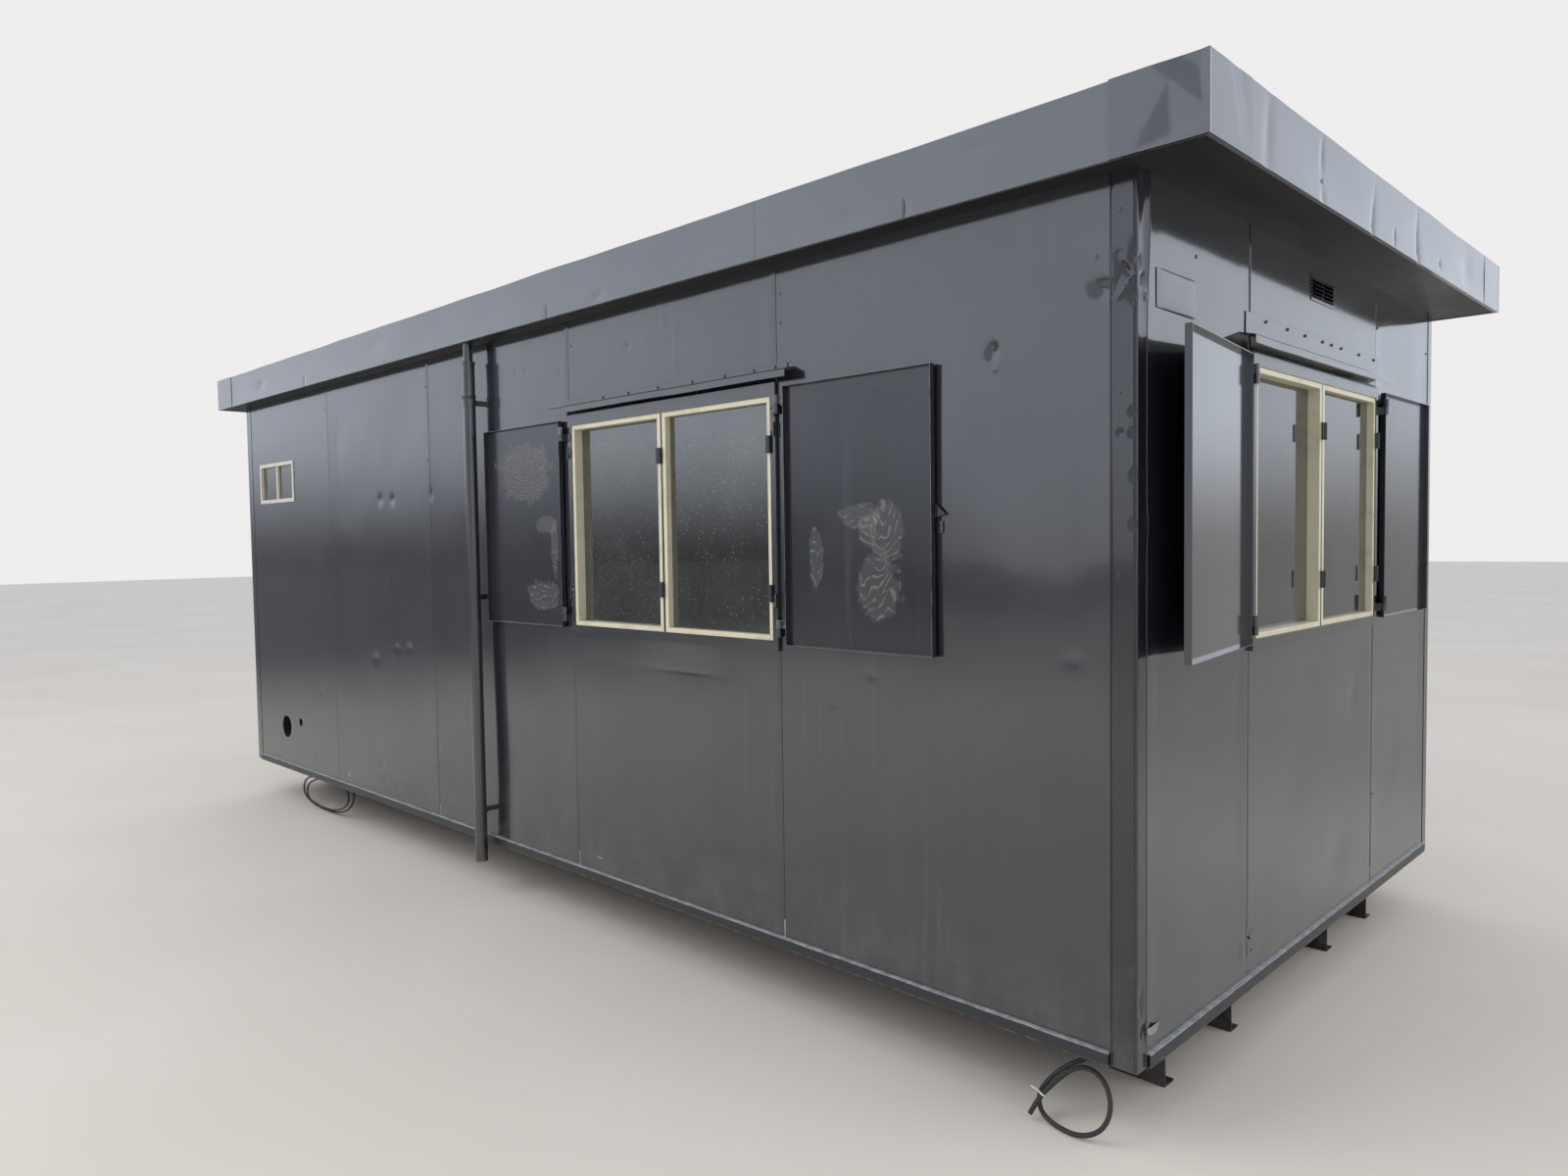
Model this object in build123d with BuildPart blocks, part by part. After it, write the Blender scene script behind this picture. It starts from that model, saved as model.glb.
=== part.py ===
import math
import os

from build123d import *

os.makedirs("parts", exist_ok=True)

# Driving sizes of the whole cabin, in millimetres.
# X runs along the long side, -Y is the front with the downpipe, Z = 0 is the ground.
skid_height = 230.0
body_length = 6375.0
body_width = 2800.0
wall_height = 2380.0
wall_thickness = 60.0
sheet_width = 1250.0
sheet_thickness = 2.0
roof_end_overhang = 230.0
roof_side_overhang = 100.0
fascia_height = 196.0

# Base frame
rail_height = 100.0
rail_flange = 45.0
rail_thickness = 4.0
rail_in_view = 40.0
rail_ledge = 13.0
joist_count = 9
joist_flange = 50.0
deck_thickness = 30.0
deck_gap = 2.0
skid_flange = 60.0
skid_thickness = 6.0
skid_end_inset = 110.0
skid_outer_inset = 435.0
skid_inner_inset = 928.0

# Corner posts
post_size_x = 62.5
post_size_y = 50.0
post_wall = 4.0
post_lap_front = 75.0
post_lap_end = 55.0
post_corner_radius = 6.0

# Sheet seams; the left bay takes what the whole sheets leave, at least this share of one
least_left_bay = 0.6
seam_bevel = 1.5
end_seam_front = 750.0
plain_bays_right = 1

# Roof
roof_deck_thickness = 80.0
fascia_thickness = 2.0
fascia_bottom_return = 14.0
fascia_top_return = 60.0
roof_sheet_thickness = 3.0
cap_leg = 256.0

# Large windows, the same on the front and on the near end
window_glazed_height = 848.0
window_head_drop = 400.0
end_window_rise = 20.0
frame_side = 25.0
frame_bottom = 36.0
frame_top = 46.0
frame_proud = 12.0
mullion_width = 12.0
mullion_depth = 34.0
sash_gap = 0.5
sash_width = 18.0
sash_depth = 54.0
sash_setback = 4.0
glass_thickness = 4.0
left_glass_setback = 40.0
right_glass_setback = 24.0
glass_rebate = 6.0
sash_hinge_from_end = 165.0
sash_hinge_height = 60.0
sash_hinge_radius = 6.0
sash_hinge_plate = 16.0
fastener_height = 420.0
fastener_width = 36.0
fastener_length = 54.0
fastener_depth = 14.0
lever_width = 14.0
lever_length = 84.0
lever_stand_off = 24.0
hood_overrun = 85.0
hood_depth = 50.0
hood_rise = 40.0
hood_drop = 6.0
hood_lip = 27.0
hood_back = 75.0
hood_back_overrun = 40.0
hood_sheet = 2.0

# Shutters and their barrel hinges; the leaf with the latch shuts last, so its pins stand further out
shutter_head_drop = 20.0
shutter_depth = 20.0
shutter_sheet = 2.0
shutter_sill_drop = 11.0
shutter_meeting_gap = 8.0
shutter_wall_gap = 6.0
hinge_from_seam = 25.0
hinge_to_leaf = 25.0
hinge_lead = 3.0
latch_leaf_lead = 7.5
hinge_foot_inset = 20.0
hinge_from_leaf_end = 58.0
pin_radius = 5.0
pin_clearance = 0.3
knuckle_radius = 9.0
knuckle_length = 30.0
knuckle_gap = 0.5
strap_thickness = 3.0
ajar_angle = 7.5
latch_reach = 40.0
latch_lap = 28.0
latch_rise = 27.0
latch_drop = 20.0
latch_thickness = 3.0
keep_width = 20.0
keep_height = 36.0
keep_depth = 3.0
keep_drop = 48.0
keep_gap = 6.0

# Small sliding window
small_window_width = 560.0
small_window_height = 256.0
small_window_from_seam = 437.0
small_frame_flange = 14.0
small_frame_face = 22.0
small_frame_proud = 5.0
small_frame_depth = 50.0
small_mullion = 20.0

# Service holes, low on the left bay, measured from its left seam and from the base edge
drain_hole_radius = 75.0
drain_hole_from_seam = 458.0
drain_hole_rise = 273.0
supply_hole_radius = 25.0
supply_hole_from_seam = 690.0
supply_hole_rise = 324.0

# Louvred vent
vent_from_window = 17.0
vent_drop = 104.0
vent_width = 235.0
vent_height = 90.0
vent_plate = 3.0
vent_border = 12.0
vent_slats = 5
vent_slat_depth = 9.0
vent_slat_thickness = 1.5
vent_slat_rise = 0.85
vent_slat_seat = 1.0

# Downpipe
pipe_from_seam = 520.0
pipe_radius = 29.0
pipe_wall = 2.5
pipe_stand_off = 62.0
pipe_below_base = 75.0
pipe_top_gap = 90.0
stub_radius = 22.0
clip_rise = 168.0
clip_drop = 278.0
clip_middle_rise = 1187.0
clip_band = 25.0
clip_thickness = 3.0
clip_clearance = 0.3

# Entrance door in the back wall
door_width = 900.0
door_height = 1950.0
door_thickness = 40.0
door_gap = 4.0
door_frame_face = 45.0
door_setback = 5.0
door_floor_gap = 0.3
handle_height = 1050.0
handle_from_edge = 70.0
handle_plate_width = 40.0
handle_plate_rise = 60.0
handle_plate_drop = 100.0
handle_plate_depth = 3.0
handle_neck_radius = 9.0
handle_stand_off = 42.0
lever_grip_length = 130.0
lever_grip_depth = 9.0

# Supply cables that hang out under the front rail, and their glands in the floor deck
right_cable = 14.0
left_cable = 10.0
gland_length = 26.0
gland_flange = 4.0
gland_margin = 7.0
gland_lip = 2.0
tie_band = 5.0
tie_thickness = 1.6
tie_clearance = 1.5
tie_head = 8.0
tie_tail = 27.0

# Planes and levels that the pieces share
x_end = body_length / 2
y_side = body_width / 2
rail_top = skid_height + rail_height
sheet_foot = skid_height + rail_in_view
soffit = skid_height + wall_height
deck_top = rail_top + deck_thickness
roof_x = x_end + roof_end_overhang
roof_y = y_side + roof_side_overhang
roof_top = soffit + fascia_height
post_inner_x = x_end - post_size_x
post_inner_y = y_side - post_size_y
whole_sheets = int(2 * post_inner_x / sheet_width - least_left_bay)
seams_front = [-post_inner_x] + [post_inner_x - sheet_width * n for n in range(whole_sheets, -1, -1)]
window_bay = whole_sheets - plain_bays_right
end_seams = [-post_inner_y, end_seam_front - y_side, end_seam_front - y_side + sheet_width, post_inner_y]
window_glazed_width = sheet_width - 2 * frame_side
frame_height = frame_bottom + window_glazed_height + frame_top
frame_head = soffit - window_head_drop
frame_foot = frame_head - frame_height
end_frame_foot = frame_foot + end_window_rise
end_frame_head = frame_head + end_window_rise
hinge_to_centre = sheet_width / 2 + hinge_from_seam
shutter_foot = frame_bottom - shutter_sill_drop
shutter_height = frame_height - shutter_head_drop - shutter_foot
shutter_front = shutter_wall_gap + shutter_depth


def save(piece, name):
    """Label a finished piece and write it as its own file."""
    piece.label = name
    export_step(piece, f"parts/{name}.step")


def along_x(outline, x_from, x_to):
    """Extrude an outline of (y, z) points along X."""
    with BuildSketch(Plane.YZ.offset(x_from)) as section:
        with BuildLine():
            Polyline(*outline, close=True)
        make_face()
    extrude(section.sketch, amount=x_to - x_from)


def along_y(outline, y_from, y_to):
    """Extrude an outline of (x, z) points along Y."""
    with BuildSketch(Plane.XZ.offset(-y_to)) as section:
        with BuildLine():
            Polyline(*outline, close=True)
        make_face()
    extrude(section.sketch, amount=y_to - y_from)


def along_z(outline, z_from, z_to):
    """Extrude an outline of (x, y) points along Z."""
    with BuildSketch(Plane.XY.offset(z_from)) as section:
        with BuildLine():
            Polyline(*outline, close=True)
        make_face()
    extrude(section.sketch, amount=z_to - z_from)


def channel(back, bottom, flange, height, thickness):
    """Outline of a channel whose web stands at back; a negative flange opens it the other way."""
    web = thickness if flange > 0 else -thickness
    top = bottom + height
    return [
        (back, bottom),
        (back + flange, bottom),
        (back + flange, bottom + thickness),
        (back + web, bottom + thickness),
        (back + web, top - thickness),
        (back + flange, top - thickness),
        (back + flange, top),
        (back, top),
    ]


def rectangle(u_from, u_to, v_from, v_to):
    """Corner points of a rectangle."""
    return [(u_from, v_from), (u_to, v_from), (u_to, v_to), (u_from, v_to)]


# Skids: channels under the joists, their webs to the front
for skid_name, centre_y in (
    ("skid_front", skid_outer_inset - y_side),
    ("skid_front_inner", skid_inner_inset - y_side),
    ("skid_back_inner", y_side - skid_inner_inset),
    ("skid_back", y_side - skid_outer_inset),
):
    with BuildPart() as skid:
        along_x(
            channel(centre_y - skid_flange / 2, 0, skid_flange, skid_height, skid_thickness),
            skid_end_inset - x_end,
            x_end - skid_end_inset,
        )
    save(skid.part, skid_name)


def base_rail(side, face):
    """Section of a folded base rail: a channel behind the sheets that steps out below their foot."""
    t = rail_thickness
    web = side * (face - sheet_thickness)
    lip = side * (face + rail_ledge)
    back = web - side * rail_flange
    return [
        (back, skid_height),
        (lip, skid_height),
        (lip, sheet_foot),
        (web, sheet_foot),
        (web, rail_top),
        (back, rail_top),
        (back, rail_top - t),
        (web - side * t, rail_top - t),
        (web - side * t, sheet_foot - t),
        (lip - side * t, sheet_foot - t),
        (lip - side * t, skid_height + t),
        (back, skid_height + t),
    ]


for side, rail_name in ((-1, "base_rail_front"), (1, "base_rail_back")):
    with BuildPart() as rail:
        along_x(base_rail(side, y_side), post_lap_front - x_end, x_end - post_lap_front)
    save(rail.part, rail_name)

for side, rail_name in ((1, "base_rail_right"), (-1, "base_rail_left")):
    with BuildPart() as rail:
        along_y(base_rail(side, x_end), post_lap_end - y_side, y_side - post_lap_end)
    save(rail.part, rail_name)

# Joists span between the flanges of the long rails
joist_reach = y_side - sheet_thickness - rail_flange
joist_spacing = 2 * post_inner_x / (joist_count + 1)
with BuildPart() as joists:
    for n in range(joist_count):
        joist_x = -post_inner_x + joist_spacing * (n + 1)
        along_y(
            channel(joist_x - joist_flange / 2, skid_height, joist_flange, rail_height, rail_thickness),
            -joist_reach,
            joist_reach,
        )
save(joists.part, "floor_joists")

# Floor deck inside the walls
deck_x = x_end - wall_thickness - deck_gap
deck_y = y_side - wall_thickness - deck_gap
with BuildPart() as deck:
    along_z(rectangle(-deck_x, deck_x, -deck_y, deck_y), rail_top, deck_top)
save(deck.part, "floor_deck")


def corner_post(side_x, side_y):
    """Folded closed post with laps that cover the edges of the sheets beside it."""

    def place(u, v):
        return (side_x * (x_end - u), side_y * (y_side - v))

    t = sheet_thickness
    outline = [
        place(-t, -t),
        place(post_lap_front, -t),
        place(post_lap_front, 0),
        place(post_size_x, 0),
        place(post_size_x, post_size_y),
        place(0, post_size_y),
        place(0, post_lap_end),
        place(-t, post_lap_end),
    ]
    hollow = [
        place(post_wall, post_wall),
        place(post_size_x - post_wall, post_wall),
        place(post_size_x - post_wall, post_size_y - post_wall),
        place(post_wall, post_size_y - post_wall),
    ]
    with BuildPart() as post:
        with BuildSketch(Plane.XY.offset(skid_height)):
            with BuildLine():
                Polyline(*outline, close=True)
            make_face()
            with BuildLine(mode=Mode.PRIVATE) as inner:
                Polyline(*hollow, close=True)
            make_face(inner.edges(), mode=Mode.SUBTRACT)
        extrude(amount=wall_height)
        corner = place(-t, -t)
        outer_edge = post.edges().filter_by(Axis.Z).sort_by_distance((corner[0], corner[1], skid_height))[0]
        fillet(outer_edge, post_corner_radius)
    return post.part


for side_x, side_y, post_name in (
    (1, -1, "corner_post_front_right"),
    (-1, -1, "corner_post_front_left"),
    (1, 1, "corner_post_back_right"),
    (-1, 1, "corner_post_back_left"),
):
    save(corner_post(side_x, side_y), post_name)


def wall_section(outside, side, bottom, top):
    """Section of a wall panel: the outer sheet laps down over the rail where the panel starts on it."""
    inside = outside - side * wall_thickness
    sheet_back = outside - side * sheet_thickness
    if bottom > rail_top:
        return [(outside, bottom), (inside, bottom), (inside, top), (outside, top)]
    return [
        (outside, sheet_foot),
        (sheet_back, sheet_foot),
        (sheet_back, rail_top),
        (inside, rail_top),
        (inside, top),
        (outside, top),
    ]


def long_wall_panel(side, x_from, x_to, bottom=0.0, top=soffit):
    """Panel of the front (side -1) or back (side 1) wall, with bevelled sheet edges."""
    along_x(wall_section(side * y_side, side, bottom, top), x_from, x_to)


def end_wall_panel(side, y_from, y_to, bottom=0.0, top=soffit):
    """Panel of the right (side 1) or left (side -1) end wall."""
    along_y(wall_section(side * x_end, side, bottom, top), y_from, y_to)


def bevel_seams(part, axis, side):
    """Bevel the upright outer edges of a panel so that a seam shows beside it."""
    uprights = part.edges().filter_by(Axis.Z).group_by(axis)
    chamfer(uprights[-1] if side > 0 else uprights[0], seam_bevel)


# Front wall, left to right
drain_hole_x = seams_front[0] + drain_hole_from_seam
supply_hole_x = seams_front[0] + supply_hole_from_seam
small_window_x = seams_front[0] + small_window_from_seam
small_window_z = soffit - window_head_drop - small_window_height / 2
for n in range(len(seams_front) - 1):
    if n == window_bay:
        continue
    with BuildPart() as panel:
        long_wall_panel(-1, seams_front[n], seams_front[n + 1])
        bevel_seams(panel, Axis.Y, -1)
        if n == 0:
            with BuildSketch(Plane.XZ.offset(y_side)):
                with Locations((drain_hole_x, skid_height + drain_hole_rise)):
                    Circle(drain_hole_radius)
                with Locations((supply_hole_x, skid_height + supply_hole_rise)):
                    Circle(supply_hole_radius)
                with Locations((small_window_x, small_window_z)):
                    Rectangle(
                        small_window_width - 2 * small_frame_flange,
                        small_window_height - 2 * small_frame_flange,
                    )
            extrude(amount=-wall_thickness, mode=Mode.SUBTRACT)
    save(panel.part, f"front_panel_{n + 1}")

with BuildPart() as apron:
    long_wall_panel(-1, seams_front[window_bay], seams_front[window_bay + 1], top=frame_foot)
    bevel_seams(apron, Axis.Y, -1)
save(apron.part, "front_window_apron")

with BuildPart() as header:
    long_wall_panel(-1, seams_front[window_bay], seams_front[window_bay + 1], bottom=frame_head)
    bevel_seams(header, Axis.Y, -1)
save(header.part, "front_window_header")

# Right end wall
for low, high, panel_name in (
    (end_seams[0], end_seams[1], "end_panel_front"),
    (end_seams[2], end_seams[3], "end_panel_back"),
):
    with BuildPart() as panel:
        end_wall_panel(1, low, high)
        bevel_seams(panel, Axis.X, 1)
    save(panel.part, panel_name)

with BuildPart() as apron:
    end_wall_panel(1, end_seams[1], end_seams[2], top=end_frame_foot)
    bevel_seams(apron, Axis.X, 1)
save(apron.part, "end_window_apron")

vent_y = (end_seams[1] + end_seams[2]) / 2 + vent_from_window
vent_z = soffit - vent_drop
vent_cell_width = (vent_width - 3 * vent_border) / 2
vent_cell_height = vent_height - 2 * vent_border
vent_cells = [vent_y + side * (vent_cell_width + vent_border) / 2 for side in (-1, 1)]
with BuildPart() as header:
    end_wall_panel(1, end_seams[1], end_seams[2], bottom=end_frame_head)
    bevel_seams(header, Axis.X, 1)
    with BuildSketch(Plane.YZ.offset(x_end)):
        with Locations(*[(cell, vent_z) for cell in vent_cells]):
            Rectangle(vent_cell_width, vent_cell_height)
    extrude(amount=-wall_thickness, mode=Mode.SUBTRACT)
save(header.part, "end_window_header")

# Left end wall: one wall with the same seams as the right end
with BuildPart() as left_wall:
    end_wall_panel(-1, end_seams[0], end_seams[3])
    bevel_seams(left_wall, Axis.X, -1)
    for seam in end_seams[1:3]:
        groove = [(-x_end, seam - seam_bevel), (-x_end + seam_bevel, seam), (-x_end, seam + seam_bevel)]
        with BuildSketch(Plane.XY.offset(sheet_foot)):
            with BuildLine():
                Polyline(*groove, close=True)
            make_face()
        extrude(amount=soffit - sheet_foot, mode=Mode.SUBTRACT)
save(left_wall.part, "left_end_wall")

# Back wall with its entrance door
door_x = (seams_front[1] + seams_front[2]) / 2
doorway_half = door_width / 2 + door_gap + door_frame_face
doorway_top = deck_top + door_height + door_gap + door_frame_face
with BuildPart() as panel:
    long_wall_panel(1, seams_front[0], seams_front[1])
    bevel_seams(panel, Axis.Y, 1)
save(panel.part, "back_panel_left")

with BuildPart() as panel:
    long_wall_panel(1, seams_front[1], seams_front[2])
    bevel_seams(panel, Axis.Y, 1)
    with BuildSketch(Plane.XZ.offset(-y_side)):
        with BuildLine():
            Polyline(
                *rectangle(door_x - doorway_half, door_x + doorway_half, rail_top, doorway_top),
                close=True,
            )
        make_face()
    extrude(amount=wall_thickness, mode=Mode.SUBTRACT)
save(panel.part, "back_panel_door")

with BuildPart() as panel:
    long_wall_panel(1, seams_front[2], seams_front[-1])
    bevel_seams(panel, Axis.Y, 1)
    for seam in seams_front[3:-1]:
        groove = [(seam - seam_bevel, y_side), (seam, y_side - seam_bevel), (seam + seam_bevel, y_side)]
        with BuildSketch(Plane.XY.offset(sheet_foot)):
            with BuildLine():
                Polyline(*groove, close=True)
            make_face()
        extrude(amount=soffit - sheet_foot, mode=Mode.SUBTRACT)
save(panel.part, "back_panel_right")

with BuildPart() as door_frame:
    inner_half = door_width / 2 + door_gap
    with BuildSketch(Plane.XZ.offset(-y_side)):
        with BuildLine():
            Polyline(
                *rectangle(door_x - doorway_half, door_x + doorway_half, rail_top, doorway_top),
                close=True,
            )
        make_face()
        with BuildLine(mode=Mode.PRIVATE) as clear:
            Polyline(
                *rectangle(
                    door_x - inner_half, door_x + inner_half, deck_top, deck_top + door_height + door_gap
                ),
                close=True,
            )
        make_face(clear.edges(), mode=Mode.SUBTRACT)
    extrude(amount=wall_thickness)
save(door_frame.part, "door_frame")

with BuildPart() as door:
    with BuildSketch(Plane.XZ.offset(-y_side + door_setback)):
        with BuildLine():
            Polyline(
                *rectangle(
                    door_x - door_width / 2,
                    door_x + door_width / 2,
                    deck_top + door_floor_gap,
                    deck_top + door_height,
                ),
                close=True,
            )
        make_face()
    extrude(amount=door_thickness)
save(door.part, "door_leaf")

# Roof deck, sheet, fascias and corner caps
edge_x = roof_x - fascia_thickness
edge_y = roof_y - fascia_thickness
with BuildPart() as roof_deck:
    along_z(rectangle(-edge_x, edge_x, -edge_y, edge_y), soffit, soffit + roof_deck_thickness)
save(roof_deck.part, "roof_deck")

with BuildPart() as roof_sheet:
    sheet_bottom = soffit + roof_deck_thickness
    along_z(rectangle(-edge_x, edge_x, -edge_y, edge_y), sheet_bottom, sheet_bottom + roof_sheet_thickness)
save(roof_sheet.part, "roof_sheet")


def fascia_section(outside, side):
    """Folded fascia: a web with a return under the soffit and a wider one over the roof edge."""
    t = fascia_thickness
    web = outside - side * t
    under = outside - side * fascia_bottom_return
    over = outside - side * fascia_top_return
    return [
        (outside, soffit - t),
        (under, soffit - t),
        (under, soffit),
        (web, soffit),
        (web, roof_top - t),
        (over, roof_top - t),
        (over, roof_top),
        (outside, roof_top),
    ]


def mitre(side_x, side_y, keep):
    """Cut the fascia at the 45 degree plane through a roof corner."""
    plane = Plane(origin=(side_x * roof_x, side_y * roof_y, 0), z_dir=(side_x, -side_y, 0))
    split(bisect_by=plane, keep=keep)


for side, fascia_name in ((-1, "fascia_front"), (1, "fascia_back")):
    with BuildPart() as fascia:
        along_x(fascia_section(side * roof_y, side), -roof_x, roof_x)
        mitre(1, side, Keep.BOTTOM)
        mitre(-1, side, Keep.BOTTOM)
    save(fascia.part, fascia_name)

for side, fascia_name in ((1, "fascia_right"), (-1, "fascia_left")):
    with BuildPart() as fascia:
        along_y(fascia_section(side * roof_x, side), -roof_y, roof_y)
        mitre(side, 1, Keep.TOP)
        mitre(side, -1, Keep.TOP)
    save(fascia.part, fascia_name)

with BuildPart() as caps:
    for side_x in (-1, 1):
        for side_y in (-1, 1):
            t = fascia_thickness
            points = [
                (roof_x + t, roof_y + t),
                (roof_x - cap_leg, roof_y + t),
                (roof_x - cap_leg, roof_y),
                (roof_x, roof_y),
                (roof_x, roof_y - cap_leg),
                (roof_x + t, roof_y - cap_leg),
            ]
            along_z([(side_x * x, side_y * y) for x, y in points], soffit - t, roof_top)
save(caps.part, "fascia_corner_caps")


def opening_plane(wall):
    """Plane on the outer face of a wall at a window's centre line: x to the right, y up, z outward."""
    if wall == "front":
        centre = (seams_front[window_bay] + seams_front[window_bay + 1]) / 2
        return Plane(origin=(centre, -y_side, frame_foot), x_dir=(1, 0, 0), z_dir=(0, -1, 0))
    centre = (end_seams[1] + end_seams[2]) / 2
    return Plane(origin=(x_end, centre, end_frame_foot), x_dir=(0, 1, 0), z_dir=(1, 0, 0))


def add_plate(plane, outline, level, depth, mode=Mode.ADD):
    """Extrude an outline on a wall plane, from level outward by depth."""
    with BuildSketch(plane.offset(level)) as section:
        with BuildLine():
            Polyline(*outline, close=True)
        make_face()
    extrude(section.sketch, amount=depth, mode=mode)


def window_frame(plane):
    """Steel frame of a window bay with its middle bar and the fixed halves of the hinges."""
    half = sheet_width / 2
    clear = window_glazed_width / 2
    clear_top = frame_bottom + window_glazed_height
    with BuildPart() as frame:
        depth = wall_thickness + frame_proud
        opening = rectangle(-clear, clear, frame_bottom, clear_top)
        add_plate(plane, rectangle(-half, half, 0, frame_height), -wall_thickness, depth)
        add_plate(plane, opening, -wall_thickness, depth, Mode.SUBTRACT)
        add_plate(
            plane,
            rectangle(-mullion_width / 2, mullion_width / 2, frame_bottom, clear_top),
            -mullion_depth,
            mullion_depth + frame_proud - sash_setback,
        )
        for side in (-1, 1):
            for level in hinge_levels():
                hinge_seat(plane, side, level)
    return frame.part


def hinge_levels():
    """Heights of the hinges above the frame's foot, at the split between fixed and moving knuckles."""
    return (shutter_foot + hinge_from_leaf_end, shutter_foot + shutter_height - hinge_from_leaf_end)


def hinge_stand_off(side):
    """Distance of the hinge pins from the wall for the left (-1) or the right (1) leaf."""
    return shutter_front + (latch_leaf_lead if side > 0 else hinge_lead)


def hinge_seat(plane, side, level):
    """Fixed knuckle with its pin, on a bracket that is welded to the frame."""
    axis_u = side * hinge_to_centre
    top = level - knuckle_gap
    base = Plane(
        origin=plane.from_local_coords((axis_u, top - knuckle_length, hinge_stand_off(side))),
        x_dir=plane.x_dir,
        z_dir=plane.y_dir,
    )
    with BuildSketch(base) as knuckle:
        Circle(knuckle_radius)
    extrude(knuckle.sketch, amount=knuckle_length)
    with BuildSketch(base.offset(knuckle_length)) as pin:
        Circle(pin_radius)
    extrude(pin.sketch, amount=2 * knuckle_gap + knuckle_length)
    foot_in = side * (sheet_width / 2 - hinge_foot_inset)
    leg_in = side * (hinge_to_centre - strap_thickness)
    leg_out = side * (hinge_to_centre + strap_thickness)
    foot = rectangle(*sorted((foot_in, leg_out)), top - knuckle_length, top)
    add_plate(plane, foot, frame_proud, strap_thickness)
    leg = rectangle(*sorted((leg_in, leg_out)), top - knuckle_length, top)
    add_plate(plane, leg, frame_proud, hinge_stand_off(side) - frame_proud)


def casements(plane):
    """Two timber casements, each a rebated frame that holds its pane, with hinges and a fastener."""
    face = frame_proud - sash_setback
    with BuildPart() as sashes:
        for u_from, u_to, setback in sash_spans():
            foot = frame_bottom + sash_gap
            head = frame_bottom + window_glazed_height - sash_gap
            add_plate(plane, rectangle(u_from, u_to, foot, head), face - sash_depth, sash_depth)
            inner = inset(u_from, u_to, foot, head, sash_width)
            add_plate(plane, inner, face - sash_depth, sash_depth, Mode.SUBTRACT)
            rebate = inset(u_from, u_to, foot, head, sash_width - glass_rebate)
            add_plate(plane, rebate, face - sash_depth, sash_depth - setback, Mode.SUBTRACT)
            pin = u_to if u_to > 0 else 0
            for level in (foot + sash_hinge_from_end, head - sash_hinge_from_end):
                sash_hinge(plane, pin, u_to, level)
        fastener(plane, sash_spans()[1][0], face - sash_depth)
    return sashes.part


def inset(u_from, u_to, v_from, v_to, margin):
    """Rectangle drawn in from its four sides by a margin."""
    return rectangle(u_from + margin, u_to - margin, v_from + margin, v_to - margin)


def sash_hinge(plane, pin, edge, level):
    """Barrel hinge of a casement: a plate on its stile and a knuckle that stands over the frame."""
    face = frame_proud - sash_setback
    crown = frame_proud + sash_gap
    low = level - sash_hinge_height / 2
    plate = rectangle(edge - sash_hinge_plate, edge, low, low + sash_hinge_height)
    add_plate(plane, plate, face, crown + sash_hinge_radius - face)
    bridge = rectangle(edge - sash_gap, pin, low, low + sash_hinge_height)
    add_plate(plane, bridge, crown, sash_hinge_radius)
    base = Plane(
        origin=plane.from_local_coords((pin, low, crown + sash_hinge_radius)),
        x_dir=plane.x_dir,
        z_dir=plane.y_dir,
    )
    with BuildSketch(base) as knuckle:
        Circle(sash_hinge_radius)
    extrude(knuckle.sketch, amount=sash_hinge_height)


def fastener(plane, edge, back):
    """Inner fastener on the meeting stile: a lock case with a lever that hangs from its spindle."""
    low = frame_bottom + fastener_height
    case = rectangle(edge, edge + fastener_width, low, low + fastener_length)
    add_plate(plane, case, back - fastener_depth, fastener_depth)
    centre = edge + fastener_width / 2
    top = low + fastener_length / 2 + lever_width / 2
    spindle = rectangle(centre - lever_width / 2, centre + lever_width / 2, top - lever_width, top)
    add_plate(plane, spindle, back - fastener_depth - lever_stand_off, lever_stand_off)
    lever = rectangle(centre - lever_width / 2, centre + lever_width / 2, top - lever_length, top)
    add_plate(plane, lever, back - fastener_depth - lever_stand_off, lever_width / 2)


def sash_spans():
    """Left edge, right edge and setback of the glass of the two casements."""
    clear = window_glazed_width / 2
    bar = mullion_width / 2
    return (
        (-clear + sash_gap, -bar - sash_gap, left_glass_setback),
        (bar + sash_gap, clear - sash_gap, right_glass_setback),
    )


def panes(plane):
    """The two panes, seated against the rebates of the casements."""
    foot = frame_bottom + sash_gap
    head = frame_bottom + window_glazed_height - sash_gap
    for u_from, u_to, setback in sash_spans():
        outline = inset(u_from, u_to, foot, head, sash_width - glass_rebate)
        add_plate(plane, outline, frame_proud - sash_setback - setback - glass_thickness, glass_thickness)


def hood(plane):
    """Folded drip hood over a window, with a wall plate, a sloping top and a front lip."""
    t = hood_sheet
    high = frame_height + hood_rise
    low = high - hood_drop
    outline = [
        (0, high),
        (0, high - t),
        (hood_depth - t, low - t),
        (hood_depth - t, low - hood_lip),
        (hood_depth, low - hood_lip),
        (hood_depth, low),
        (t, high),
    ]
    half = sheet_width / 2 + hood_overrun
    start = plane.from_local_coords((-half, 0, 0))
    plate_half = sheet_width / 2 + hood_back_overrun
    with BuildPart() as cover:
        with BuildSketch(Plane(origin=start, x_dir=plane.z_dir, z_dir=-plane.x_dir)) as fold:
            with BuildLine():
                Polyline(*outline, close=True)
            make_face()
        extrude(fold.sketch, amount=-2 * half)
        add_plate(plane, rectangle(-plate_half, plate_half, high - t, high + hood_back), 0, t)
    return cover.part


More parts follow.
